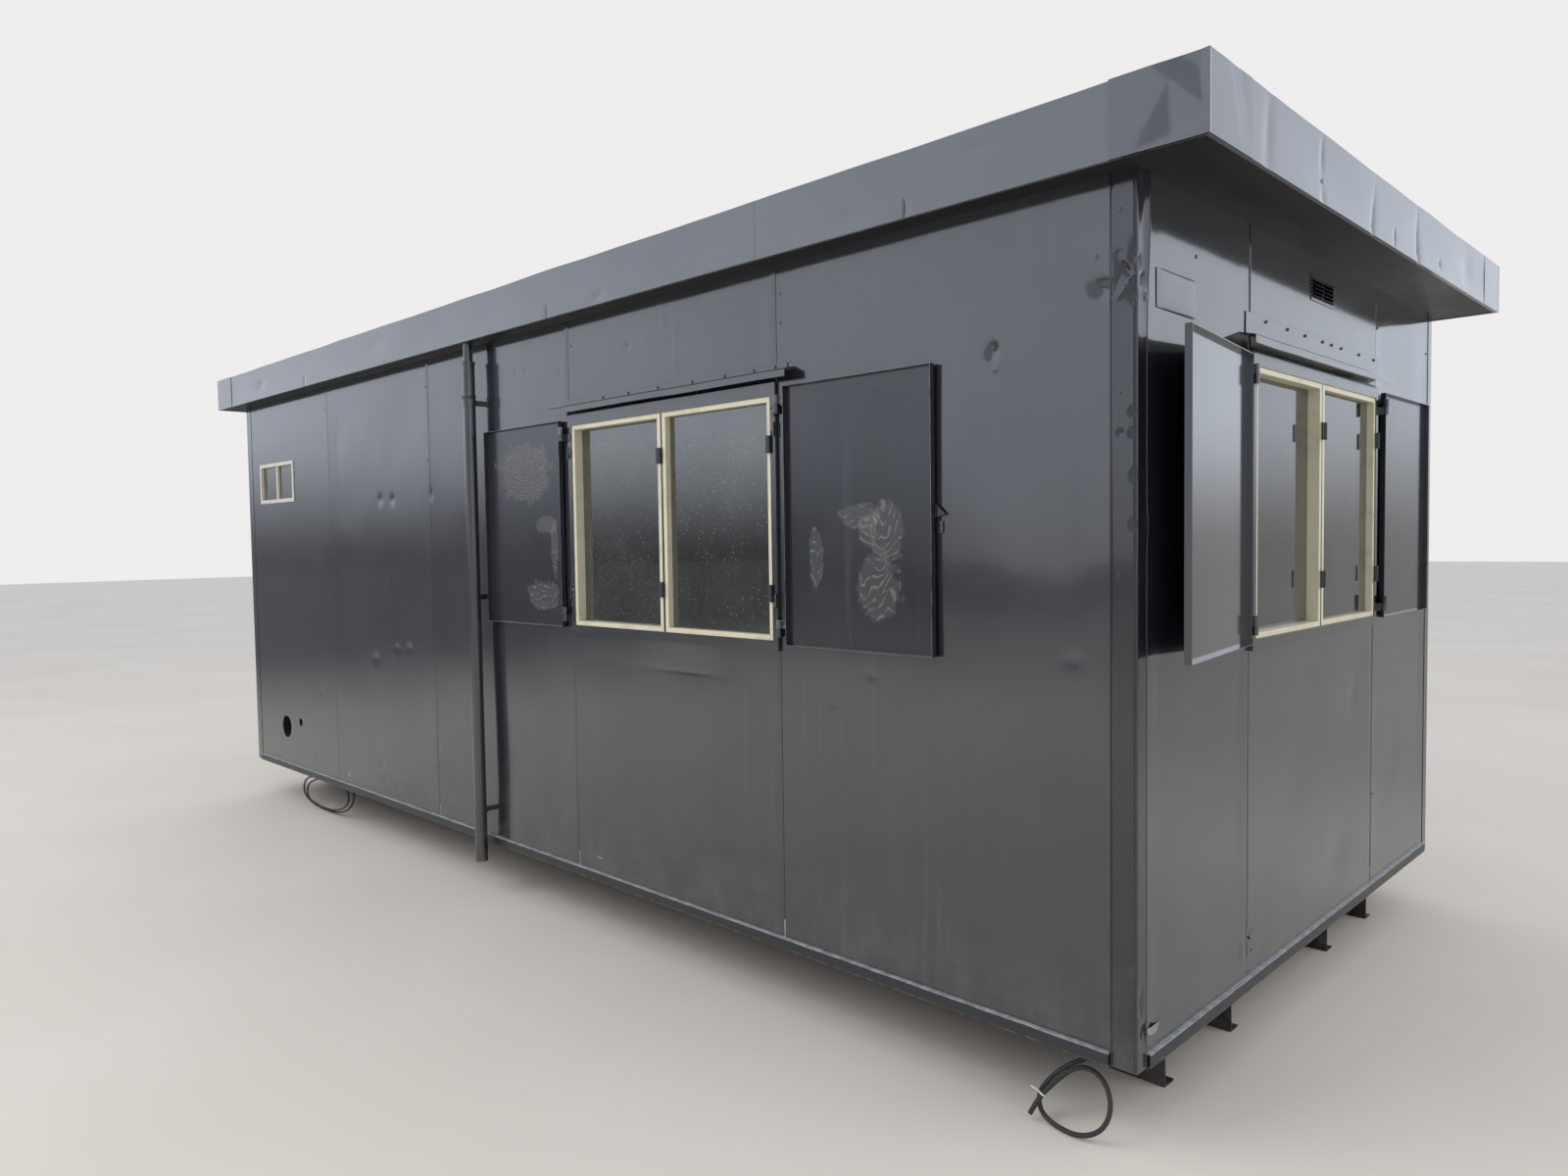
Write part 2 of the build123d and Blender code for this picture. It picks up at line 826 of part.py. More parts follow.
def shutter(plane, side, swing):
    """Steel shutter leaf: a folded tray on two barrel hinges, swung away from the wall by an angle."""
    leaf_width = hinge_to_centre - hinge_to_leaf - shutter_meeting_gap / 2
    axis_u = side * hinge_to_centre
    near = axis_u + side * hinge_to_leaf
    far = near + side * leaf_width
    span = sorted((near, far))
    with BuildPart() as leaf:
        tray = rectangle(*span, shutter_foot, shutter_foot + shutter_height)
        add_plate(plane, tray, shutter_wall_gap, shutter_depth)
        mouth = leaf.faces().sort_by(Axis(plane.origin, plane.z_dir))[-1]
        offset(amount=-shutter_sheet, openings=mouth)
        for level in hinge_levels():
            rim = near + side * shutter_sheet
            strap = rectangle(*sorted((axis_u, rim)), level, level + knuckle_length)
            add_plate(plane, strap, shutter_front - strap_thickness, strap_thickness)
            base = Plane(
                origin=plane.from_local_coords((axis_u, level, hinge_stand_off(side))),
                x_dir=plane.x_dir,
                z_dir=plane.y_dir,
            )
            with BuildSketch(base):
                Circle(knuckle_radius)
            extrude(amount=knuckle_length)
            with BuildSketch(base):
                Circle(pin_radius + pin_clearance)
            extrude(amount=knuckle_length, mode=Mode.SUBTRACT)
        if side > 0:
            latch(plane, far)
    pivot = plane.from_local_coords((axis_u, 0, hinge_stand_off(side)))
    turn = side * swing
    return leaf.part.rotate(Axis(pivot, plane.y_dir), -turn)


def latch(plane, edge):
    """Pointed latch plate behind the free edge of a right-hand leaf; it laps the other leaf when shut."""
    middle = shutter_foot + shutter_height / 2
    tongue = [
        (edge - latch_lap, middle - latch_drop),
        (edge, middle - latch_drop),
        (edge + latch_reach, middle - latch_drop / 2),
        (edge, middle + latch_rise),
        (edge - latch_lap, middle + latch_rise),
    ]
    add_plate(plane, tongue, shutter_wall_gap, latch_thickness)


def keep(plane):
    """Staple plate on the wall, below the latch of a leaf that stands open."""
    leaf_width = hinge_to_centre - hinge_to_leaf - shutter_meeting_gap / 2
    edge = hinge_to_centre + hinge_to_leaf + leaf_width + keep_gap
    top = shutter_foot + shutter_height / 2 - keep_drop + keep_height / 2
    add_plate(plane, rectangle(edge, edge + keep_width, top - keep_height, top), 0, keep_depth)


front_window = opening_plane("front")
end_window = opening_plane("end")

for plane, place in ((front_window, "front"), (end_window, "end")):
    save(window_frame(plane), f"{place}_window_frame")
    save(casements(plane), f"{place}_casements")
    save(hood(plane), f"{place}_window_hood")

with BuildPart() as glazing:
    panes(front_window)
    panes(end_window)
save(glazing.part, "window_glass")

with BuildPart() as keeps:
    keep(front_window)
    keep(end_window)
save(keeps.part, "shutter_keeps")

save(shutter(front_window, -1, 0), "shutter_front_left")
save(shutter(front_window, 1, 0), "shutter_front_right")
save(shutter(end_window, -1, ajar_angle), "shutter_end_front")
save(shutter(end_window, 1, 0), "shutter_end_back")

# Small sliding window
small_plane = Plane(origin=(small_window_x, -y_side, small_window_z), x_dir=(1, 0, 0), z_dir=(0, -1, 0))
small_half_w = small_window_width / 2
small_half_h = small_window_height / 2
body_half_w = small_half_w - small_frame_flange
body_half_h = small_half_h - small_frame_flange
clear_half_w = small_half_w - small_frame_face
clear_half_h = small_half_h - small_frame_face
with BuildPart() as small_frame:
    add_plate(
        small_plane,
        rectangle(-small_half_w, small_half_w, -small_half_h, small_half_h),
        0,
        small_frame_proud,
    )
    add_plate(
        small_plane,
        rectangle(-body_half_w, body_half_w, -body_half_h, body_half_h),
        -small_frame_depth,
        small_frame_depth,
    )
    add_plate(
        small_plane,
        rectangle(-clear_half_w, clear_half_w, -clear_half_h, clear_half_h),
        -small_frame_depth,
        small_frame_depth + small_frame_proud,
        Mode.SUBTRACT,
    )
    add_plate(
        small_plane,
        rectangle(-small_mullion / 2, small_mullion / 2, -clear_half_h, clear_half_h),
        -small_frame_depth / 2,
        small_frame_depth / 2,
    )
save(small_frame.part, "small_window_frame")

with BuildPart() as small_glass:
    for low, high in ((-clear_half_w, -small_mullion / 2), (small_mullion / 2, clear_half_w)):
        pane = rectangle(low, high, -clear_half_h, clear_half_h)
        add_plate(small_plane, pane, -small_frame_depth / 3, glass_thickness)
save(small_glass.part, "small_window_glass")

# Louvred vent over the end window
vent_plane = Plane(origin=(x_end, vent_y, vent_z), x_dir=(0, 1, 0), z_dir=(1, 0, 0))
with BuildPart() as vent:
    half_w = vent_width / 2
    half_h = vent_height / 2
    add_plate(vent_plane, rectangle(-half_w, half_w, -half_h, half_h), 0, vent_plate)
    for cell in vent_cells:
        low = cell - vent_y - vent_cell_width / 2
        outline = rectangle(low, low + vent_cell_width, -vent_cell_height / 2, vent_cell_height / 2)
        add_plate(vent_plane, outline, 0, vent_plate, Mode.SUBTRACT)
        pitch = vent_cell_height / vent_slats
        for n in range(vent_slats):
            foot = vent_z - vent_cell_height / 2 + pitch * n + vent_slat_thickness
            head = foot + pitch * vent_slat_rise
            slat = [
                (x_end + vent_slat_depth, foot),
                (x_end + vent_slat_depth, foot + vent_slat_thickness),
                (x_end, head),
                (x_end, head - vent_slat_thickness),
            ]
            reach = vent_cell_width / 2 + vent_slat_seat
            along_y(slat, cell - reach, cell + reach)
save(vent.part, "end_vent")

# Downpipe with the stub that enters the soffit, and its clips
pipe_x = seams_front[window_bay - 1] + pipe_from_seam
pipe_y = -y_side - pipe_stand_off
pipe_bottom = skid_height - pipe_below_base
pipe_top = soffit - pipe_top_gap
with BuildPart() as pipe:
    with BuildSketch(Plane.XY.offset(pipe_bottom)):
        with Locations((pipe_x, pipe_y)):
            Circle(pipe_radius)
    extrude(amount=pipe_top - pipe_bottom)
    with BuildSketch(Plane.XY.offset(pipe_top)):
        with Locations((pipe_x, pipe_y)):
            Circle(stub_radius)
    extrude(amount=soffit - pipe_top)
    with BuildSketch(Plane.XY.offset(pipe_bottom)):
        with Locations((pipe_x, pipe_y)):
            Circle(pipe_radius - pipe_wall)
    extrude(amount=pipe_top - pipe_wall - pipe_bottom, mode=Mode.SUBTRACT)
    with BuildSketch(Plane.XY.offset(pipe_top - pipe_wall)):
        with Locations((pipe_x, pipe_y)):
            Circle(stub_radius - pipe_wall)
    extrude(amount=soffit - pipe_top + pipe_wall, mode=Mode.SUBTRACT)
save(pipe.part, "downpipe")

lowest_clip = skid_height + clip_rise
highest_clip = soffit - clip_drop
middle_clip = skid_height + clip_middle_rise
with BuildPart() as clips:
    for height in (lowest_clip, middle_clip, highest_clip):
        with BuildSketch(Plane.XY.offset(height - clip_band / 2)):
            with Locations((pipe_x, pipe_y)):
                Circle(pipe_radius + clip_clearance + clip_thickness)
            with Locations((pipe_x, -y_side - (pipe_stand_off - pipe_radius) / 2)):
                Rectangle(2 * clip_thickness, pipe_stand_off - pipe_radius)
            with Locations((pipe_x, pipe_y)):
                Circle(pipe_radius + clip_clearance, mode=Mode.SUBTRACT)
        extrude(amount=clip_band)
save(clips.part, "downpipe_clips")

# Door handle
handle_plane = Plane(
    origin=(door_x - door_width / 2 + handle_from_edge, y_side - door_setback, deck_top + handle_height),
    x_dir=(-1, 0, 0),
    z_dir=(0, 1, 0),
)
with BuildPart() as handle:
    half_plate = handle_plate_width / 2
    backplate = rectangle(-half_plate, half_plate, -handle_plate_drop, handle_plate_rise)
    add_plate(handle_plane, backplate, 0, handle_plate_depth)
    with BuildSketch(handle_plane.offset(handle_plate_depth)):
        Circle(handle_neck_radius)
    extrude(amount=handle_stand_off)
    with BuildSketch(handle_plane.offset(handle_plate_depth + handle_stand_off - lever_grip_depth)):
        with Locations((handle_neck_radius * 1.5 - lever_grip_length / 2, 0)):
            SlotOverall(lever_grip_length, 2 * handle_neck_radius)
    extrude(amount=lever_grip_depth)
save(handle.part, "door_handle")

# Cable routes from gland to cut end or to the next gland. X runs from the right end of the body for
# the right cable and from the middle of the second joist bay for the left ones, Y runs inward from
# the face of the front wall, and Z is the height over the ground.
right_route = [
    (-121.5, 78, 304),
    (-121.5, 78, 262),
    (-139.5, 74, 222),
    (-181.5, 68, 191),
    (-214.5, 60, 170),
    (-249.5, 50, 145),
    (-279.5, 39, 112),
    (-301.5, 27, 80),
    (-305.5, 16, 57),
    (-297.5, 5, 36),
    (-279.5, -5, 21),
    (-249.5, -13, 12),
    (-209.5, -19, 8),
    (-169.5, -21, 9),
    (-129.5, -19, 21),
    (-94.5, -11, 47),
    (-77.5, 1, 87),
    (-81.5, 14, 127),
    (-101.5, 26, 158),
    (-135.5, 37, 176),
    (-179.5, 44, 176),
    (-221.5, 44, 151),
    (-250.5, 35, 121),
    (-273.5, 18, 93),
    (-289.5, -1, 68),
    (-300.5, -17, 44),
    (-309.5, -27, 20),
]
tie_runs = ((7, 8), (23, 24))
left_outer_route = [
    (-137.5, 104, 304),
    (-137.5, 104, 266),
    (-158.5, 104, 230),
    (-207.5, 103, 200),
    (-284.5, 101, 178),
    (-370.5, 98, 170),
    (-429.5, 95, 152),
    (-463.5, 92, 118),
    (-469.5, 89, 78),
    (-440.5, 86, 45),
    (-380.5, 83, 26),
    (-292.5, 80, 13),
    (-182.5, 77, 6),
    (-52.5, 76, 6),
    (67.5, 76, 15),
    (175.5, 78, 34),
    (257.5, 82, 70),
    (301.5, 88, 120),
    (295.5, 93, 172),
    (261.5, 98, 203),
    (215.5, 101, 220),
    (173.5, 103, 238),
    (149.5, 104, 268),
    (149.5, 104, 304),
]
left_inner_route = [
    (-74.5, 74, 304),
    (-74.5, 74, 268),
    (-94.5, 74, 234),
    (-137.5, 73, 206),
    (-210.5, 71, 180),
    (-280.5, 69, 160),
    (-327.5, 67, 135),
    (-351.5, 65, 100),
    (-343.5, 63, 64),
    (-305.5, 61, 42),
    (-242.5, 59, 32),
    (-137.5, 57, 24),
    (-2.5, 57, 25),
    (117.5, 58, 38),
    (215.5, 61, 66),
    (273.5, 64, 106),
    (279.5, 68, 153),
    (243.5, 71, 189),
    (193.5, 73, 211),
    (143.5, 74, 225),
    (102.5, 74, 243),
    (80.5, 74, 272),
    (80.5, 74, 304),
]
left_bay_middle = 1.5 * joist_spacing - post_inner_x


def laid(route, x_from):
    """Route in the cabin's frame; its ends at the glands follow the top of the rail."""
    lift = rail_top - gland_length - route[0][2]
    points = []
    for x, inward, height in route:
        at_gland = height == route[0][2]
        points.append((x_from + x, inward - y_side, height + lift if at_gland else height))
    return points


right_laid = laid(right_route, x_end)
left_outer_laid = laid(left_outer_route, left_bay_middle)
left_inner_laid = laid(left_inner_route, left_bay_middle)


def cable(route, diameter, name):
    """Tube along straight runs joined by the largest tangent arcs that the runs allow."""
    points = [Vector(*point) for point in route]
    runs = [after - before for before, after in zip(points, points[1:])]
    radii = []
    for run, following in zip(runs, runs[1:]):
        turn = math.radians(run.get_angle(following))
        radii.append(0.45 * min(run.length, following.length) / math.tan(turn / 2))
    print(name, "radii in diameters:", [round(radius / diameter, 1) for radius in radii])
    with BuildPart() as tube:
        with BuildLine() as path:
            FilletPolyline(*points, radius=radii)
        with BuildSketch(Plane(origin=points[0], z_dir=runs[0])):
            Circle(diameter / 2)
        sweep(path=path.wire())
    length = path.wire().length
    section = math.pi * (diameter / 2) ** 2
    print(name, "length", round(length), "volume share", round(tube.part.volume / (section * length), 4))
    save(tube.part, name)


cable(right_laid, right_cable, "right_cable")
cable(left_outer_laid, left_cable, "left_cable_outer")
cable(left_inner_laid, left_cable, "left_cable_inner")

with BuildPart() as glands:
    for end, diameter in (
        (right_laid[0], right_cable),
        (left_outer_laid[0], left_cable),
        (left_outer_laid[-1], left_cable),
        (left_inner_laid[0], left_cable),
        (left_inner_laid[-1], left_cable),
    ):
        root = diameter / 2 + gland_margin
        with BuildSketch(Plane.XY.offset(rail_top - gland_flange)):
            with Locations(end[:2]):
                Circle(root + gland_lip)
        extrude(amount=gland_flange)
        with BuildSketch(Plane.XY.offset(rail_top - gland_flange)):
            with Locations(end[:2]):
                Circle(root)
        with BuildSketch(Plane.XY.offset(rail_top - gland_length)):
            with Locations(end[:2]):
                Circle(diameter / 2 + gland_lip)
        loft()
save(glands.part, "cable_glands")

# Tie that holds the two strands of the right cable where its loop closes
first, second = ([Vector(*right_laid[n]) for n in run] for run in tie_runs)
strand_a = (first[0] + first[1]) / 2
along = second[1] - second[0]
tie_axis = (first[1] - first[0]).normalized() + along.normalized()
strand_b = second[0] + along * ((strand_a - second[0]).dot(tie_axis) / along.dot(tie_axis))
tie_span = (strand_b - strand_a).length
tie_plane = Plane(origin=(strand_a + strand_b) / 2, x_dir=strand_b - strand_a, z_dir=tie_axis)
with BuildPart() as tie:
    bore = right_cable + 2 * tie_clearance
    with BuildSketch(tie_plane.offset(-tie_band / 2)):
        SlotCenterToCenter(tie_span, bore + 2 * tie_thickness)
        SlotCenterToCenter(tie_span, bore, mode=Mode.SUBTRACT)
    extrude(amount=tie_band)
    with BuildSketch(tie_plane.offset(-tie_band / 2)):
        with Locations((0, bore / 2 + tie_thickness + tie_head / 4)):
            Rectangle(tie_head, tie_head / 2)
        with Locations((tie_head / 4, bore / 2 + tie_thickness + tie_tail / 2)):
            Rectangle(tie_thickness, tie_tail)
    extrude(amount=tie_band)
save(tie.part, "cable_tie")
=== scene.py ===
"""Looks of a portable site cabin: coatings, glazing, fixings, dents and the cables under its base."""

import logging
import math
from dataclasses import dataclass
from enum import Enum
from typing import ClassVar

import bmesh
import bpy
from mathutils import Matrix, Vector, noise

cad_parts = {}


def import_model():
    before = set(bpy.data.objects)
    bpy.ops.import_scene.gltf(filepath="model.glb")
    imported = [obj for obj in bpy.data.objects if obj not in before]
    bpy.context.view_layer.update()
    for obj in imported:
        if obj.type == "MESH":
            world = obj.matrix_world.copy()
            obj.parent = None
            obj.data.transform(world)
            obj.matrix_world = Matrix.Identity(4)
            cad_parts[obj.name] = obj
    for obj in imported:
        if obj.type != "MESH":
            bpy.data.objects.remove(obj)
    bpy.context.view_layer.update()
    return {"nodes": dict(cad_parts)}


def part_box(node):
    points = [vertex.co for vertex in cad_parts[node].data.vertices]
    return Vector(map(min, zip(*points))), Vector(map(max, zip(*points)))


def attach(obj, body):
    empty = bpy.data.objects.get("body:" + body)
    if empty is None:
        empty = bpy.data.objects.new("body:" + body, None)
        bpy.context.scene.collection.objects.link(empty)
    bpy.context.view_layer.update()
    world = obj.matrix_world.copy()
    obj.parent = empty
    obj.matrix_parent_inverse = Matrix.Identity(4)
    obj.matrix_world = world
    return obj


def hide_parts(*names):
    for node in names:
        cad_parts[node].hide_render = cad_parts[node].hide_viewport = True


log = logging.getLogger("site_cabin")

Point = tuple[float, float, float]
Colour = tuple[float, float, float, float]

CABIN = "cabin"


class Wall(Enum):
    """Outer walls of the cabin, by the side that they face."""

    FRONT = "front"
    RIGHT = "right"
    BACK = "back"
    LEFT = "left"

    def place(self, along: float, outward: float, rise: float) -> Point:
        """Turn a place on the wall into a point.

        Args:
            along: Distance along the wall, from the cabin's middle.
            outward: Distance out from the cabin's middle.
            rise: Height over the ground.

        Returns:
            The point.
        """
        if self is Wall.FRONT:
            return (along, -outward, rise)
        if self is Wall.BACK:
            return (along, outward, rise)
        return (outward if self is Wall.RIGHT else -outward, along, rise)


@dataclass(frozen=True)
class Levels:
    """Sizes of the CAD model that the dressing lines up with, in metres."""

    x_end: float = 3.1875
    y_side: float = 1.4
    roof_x: float = 3.4175
    roof_y: float = 1.5
    board_x: float = 3.404
    board_y: float = 1.4865
    base: float = 0.23
    soffit: float = 2.61
    roof_top: float = 2.806


LEVELS = Levels()


@dataclass(frozen=True)
class Dent:
    """One dent or fold in a sheet, in metres.

    Attributes:
        along: Place along the wall.
        rise: Height over the ground.
        width: Half width.
        height: Half height.
        depth: Depth; negative where the sheet bulges out.
        lean: How far it leans along the wall for each metre of height.
        crease: Whether it is a sharp fold and not a bowl.
    """

    along: float
    rise: float
    width: float
    height: float
    depth: float
    lean: float = 0.0
    crease: bool = False

    def push(self, along: float, rise: float) -> float:
        """Work out how far the sheet is pushed in at a place.

        Args:
            along: Place along the wall.
            rise: Height over the ground.

        Returns:
            The distance, in metres.
        """
        up = (rise - self.rise) / self.height
        across = (along - self.along - self.lean * (rise - self.rise)) / self.width
        if abs(up) > 3 or abs(across) > 5:
            return 0.0
        if self.crease:
            return self.depth * math.exp(-1.5 * abs(across) - up * up)
        return self.depth * math.exp(-across * across - up * up)

    def touches(self, start: float, stop: float, foot: float, head: float) -> bool:
        """Say whether the dent reaches into a panel."""
        beside = start - 2 * self.width < self.along < stop + 2 * self.width
        return beside and foot - 2 * self.height < self.rise < head + 2 * self.height


FLOAT = "NodeSocketFloat"
VECTOR = "NodeSocketVector"
GEOMETRY = "NodeSocketGeometry"
SOCKETS: dict[type, str] = {float: FLOAT, int: "NodeSocketInt", tuple: VECTOR}

DUST: Colour = (0.17, 0.155, 0.13, 1.0)
RAIN_FILM: Colour = (0.16, 0.17, 0.18, 1.0)
SCRATCHED: Colour = (0.012, 0.013, 0.015, 1.0)
LINING_PAINT: Colour = (0.52, 0.50, 0.45, 1.0)
# Painted highlight on the front edges of a leaf's rim.
RIM_HIGHLIGHT: Colour = (0.16, 0.17, 0.185, 1.0)
RESIDUE: Colour = (0.40, 0.39, 0.35, 1.0)

# How far inside the walls' faces the lining starts, and how far outside them only hinges stand.
LINING_DEPTH = 0.0588
HINGE_STAND = 0.0127
# Places along Y, and heights, between which an effect sets in.
RIM_FACE = (-1.4245, -1.4255)
TRAY_FACE = (-1.4065, -1.4075)
RAIL_LEDGE = (0.2675, 0.2695)
RAIL_FOOT = (0.2335, 0.2305)


def pushed(dents: tuple[Dent, ...], along: float, rise: float) -> float:
    """Work out how far several dents together push a sheet in at a place."""
    return sum(dent.push(along, rise) for dent in dents)


class Graph:
    """Adds nodes to one node tree and links them."""

    def __init__(self, tree: bpy.types.NodeTree) -> None:
        """Work on a shader or geometry node tree."""
        self.tree = tree
        self.place: bpy.types.NodeSocket | None = None

    def add(self, kind: str, inputs: dict | None = None, **settings: object) -> bpy.types.Node:
        """Add a node.

        Args:
            kind: Blender's identifier of the node.
            inputs: Values or source sockets by input name or index.
            **settings: Properties of the node itself.

        Returns:
            The new node.
        """
        node = self.tree.nodes.new(kind)
        for name, value in settings.items():
            setattr(node, name, value)
        for key, value in (inputs or {}).items():
            self.feed(node.inputs[key], value)
        return node

    def first(self, kind: str, inputs: dict | None = None, **settings: object) -> bpy.types.NodeSocket:
        """Add a node and return its first result."""
        return self.add(kind, inputs, **settings).outputs[0]

    def feed(self, socket: bpy.types.NodeSocket, value: object) -> None:
        """Link a source socket to an input, or set the input's own value.

        Args:
            socket: The input.
            value: Its source or value.
        """
        if isinstance(value, bpy.types.NodeSocket):
            self.tree.links.new(value, socket)
        else:
            socket.default_value = value

    def math(self, operation: str, a: object, b: object = 0.0, clamp: bool = False) -> bpy.types.NodeSocket:
        """Add a math node.

        Args:
            operation: Blender's name of the operation.
            a: First value or source.
            b: Second value or source.
            clamp: Keep the result between 0 and 1.

        Returns:
            The result.
        """
        return self.first("ShaderNodeMath", {0: a, 1: b}, operation=operation, use_clamp=clamp)

    def times(self, a: object, b: object) -> bpy.types.NodeSocket:
        """Multiply two values."""
        return self.math("MULTIPLY", a, b)

    def plus(self, a: object, b: object, clamp: bool = False) -> bpy.types.NodeSocket:
        """Add two values, and keep their sum between 0 and 1 if it is clamped."""
        return self.math("ADD", a, b, clamp)

    def more(self, value: object, mask: object, share: float, clamp: bool = False) -> bpy.types.NodeSocket:
        """Add a share of a mask to a value."""
        return self.plus(value, self.times(mask, share), clamp)

    def vector(self, operation: str, a: object, b: object = (0.0, 0.0, 0.0), result: int = 0) -> bpy.types.NodeSocket:
        """Add a vector math node and return its vector, or its value as result 1."""
        return self.add("ShaderNodeVectorMath", {0: a, 1: b}, operation=operation).outputs[result]

    def axes(self, place: object) -> tuple[bpy.types.NodeSocket, ...]:
        """Split a place into X, Y and Z."""
        return tuple(self.add("ShaderNodeSeparateXYZ", {0: place}).outputs)

    def ramp(self, value: object, low: float, high: float) -> bpy.types.NodeSocket:
        """Rise smoothly from 0 at low to 1 at high.

        Args:
            value: Source of the value.
            low: Value at which the ramp starts; it may be above high.
            high: Value at which the ramp ends.

        Returns:
            The ramp's result.
        """
        ends = (low, high, 0.0, 1.0) if low <= high else (high, low, 1.0, 0.0)
        inputs = {0: value, **dict(enumerate(ends, start=1))}
        return self.first("ShaderNodeMapRange", inputs, interpolation_type="SMOOTHSTEP")

    def noise(
        self, scale: object, detail: float = 3.0, rough: float = 0.5, along: Point | None = None
    ) -> bpy.types.NodeSocket:
        """Spread noise over the surface.

        Args:
            scale: Features for each metre.
            detail: Octaves.
            rough: Share of the finer octaves.
            along: Factors on the place, where the pattern is stretched.

        Returns:
            Noise from 0 to 1.
        """
        place = self.place
        if along:
            place = self.first("ShaderNodeMapping", {"Vector": place, "Scale": along})
        inputs = {"Vector": place, "Scale": scale, "Detail": detail, "Roughness": rough}
        return self.first("ShaderNodeTexNoise", inputs)

    def patches(self, low: float, high: float, *pattern: object) -> bpy.types.NodeSocket:
        """Make a mask from noise, which rises from 0 where the noise is low to 1 where it is high."""
        return self.ramp(self.noise(*pattern), low, high)

    def blend(self, share: object, first: object, second: object) -> bpy.types.NodeSocket:
        """Mix two colours.

        Args:
            share: Share of the second colour.
            first: First colour or source.
            second: Second colour or source.

        Returns:
            The mixed colour.
        """
        inputs = {0: share, 6: first, 7: second}
        return self.add("ShaderNodeMix", inputs, data_type="RGBA", blend_type="MIX", clamp_factor=True).outputs[2]

    def tint(self, base: object, mask: object, share: float, colour: Colour) -> bpy.types.NodeSocket:
        """Turn a colour towards another one, by a share of a mask."""
        return self.blend(self.times(mask, share), base, colour)


class Group(Graph):
    """A node group under way, with named inputs and results."""

    def __init__(self, name: str, kind: str = "ShaderNodeTree", **inputs: object) -> None:
        """Start the group.

        Args:
            name: Name of the group.
            kind: ShaderNodeTree or GeometryNodeTree.
            **inputs: Each input's default, or the name of its socket type. Underscores stand for spaces.
        """
        super().__init__(bpy.data.node_groups.new(name, kind))
        for label, value in inputs.items():
            typed = isinstance(value, str)
            socket = self.tree.interface.new_socket(
                name=label.replace("_", " "), in_out="INPUT", socket_type=value if typed else SOCKETS[type(value)]
            )
            if not typed:
                socket.default_value = value
        self.given = self.add("NodeGroupInput").outputs
        self.place = self.given.get("Place")

    def give(self, kind: str = FLOAT, **results: bpy.types.NodeSocket) -> bpy.types.NodeTree:
        """Hand out the results by name.

        Args:
            kind: Socket type of the results.
            **results: Source of each result.

        Returns:
            The finished group.
        """
        for label in results:
            self.tree.interface.new_socket(name=label, in_out="OUTPUT", socket_type=kind)
        self.add("NodeGroupOutput", results)
        return self.tree


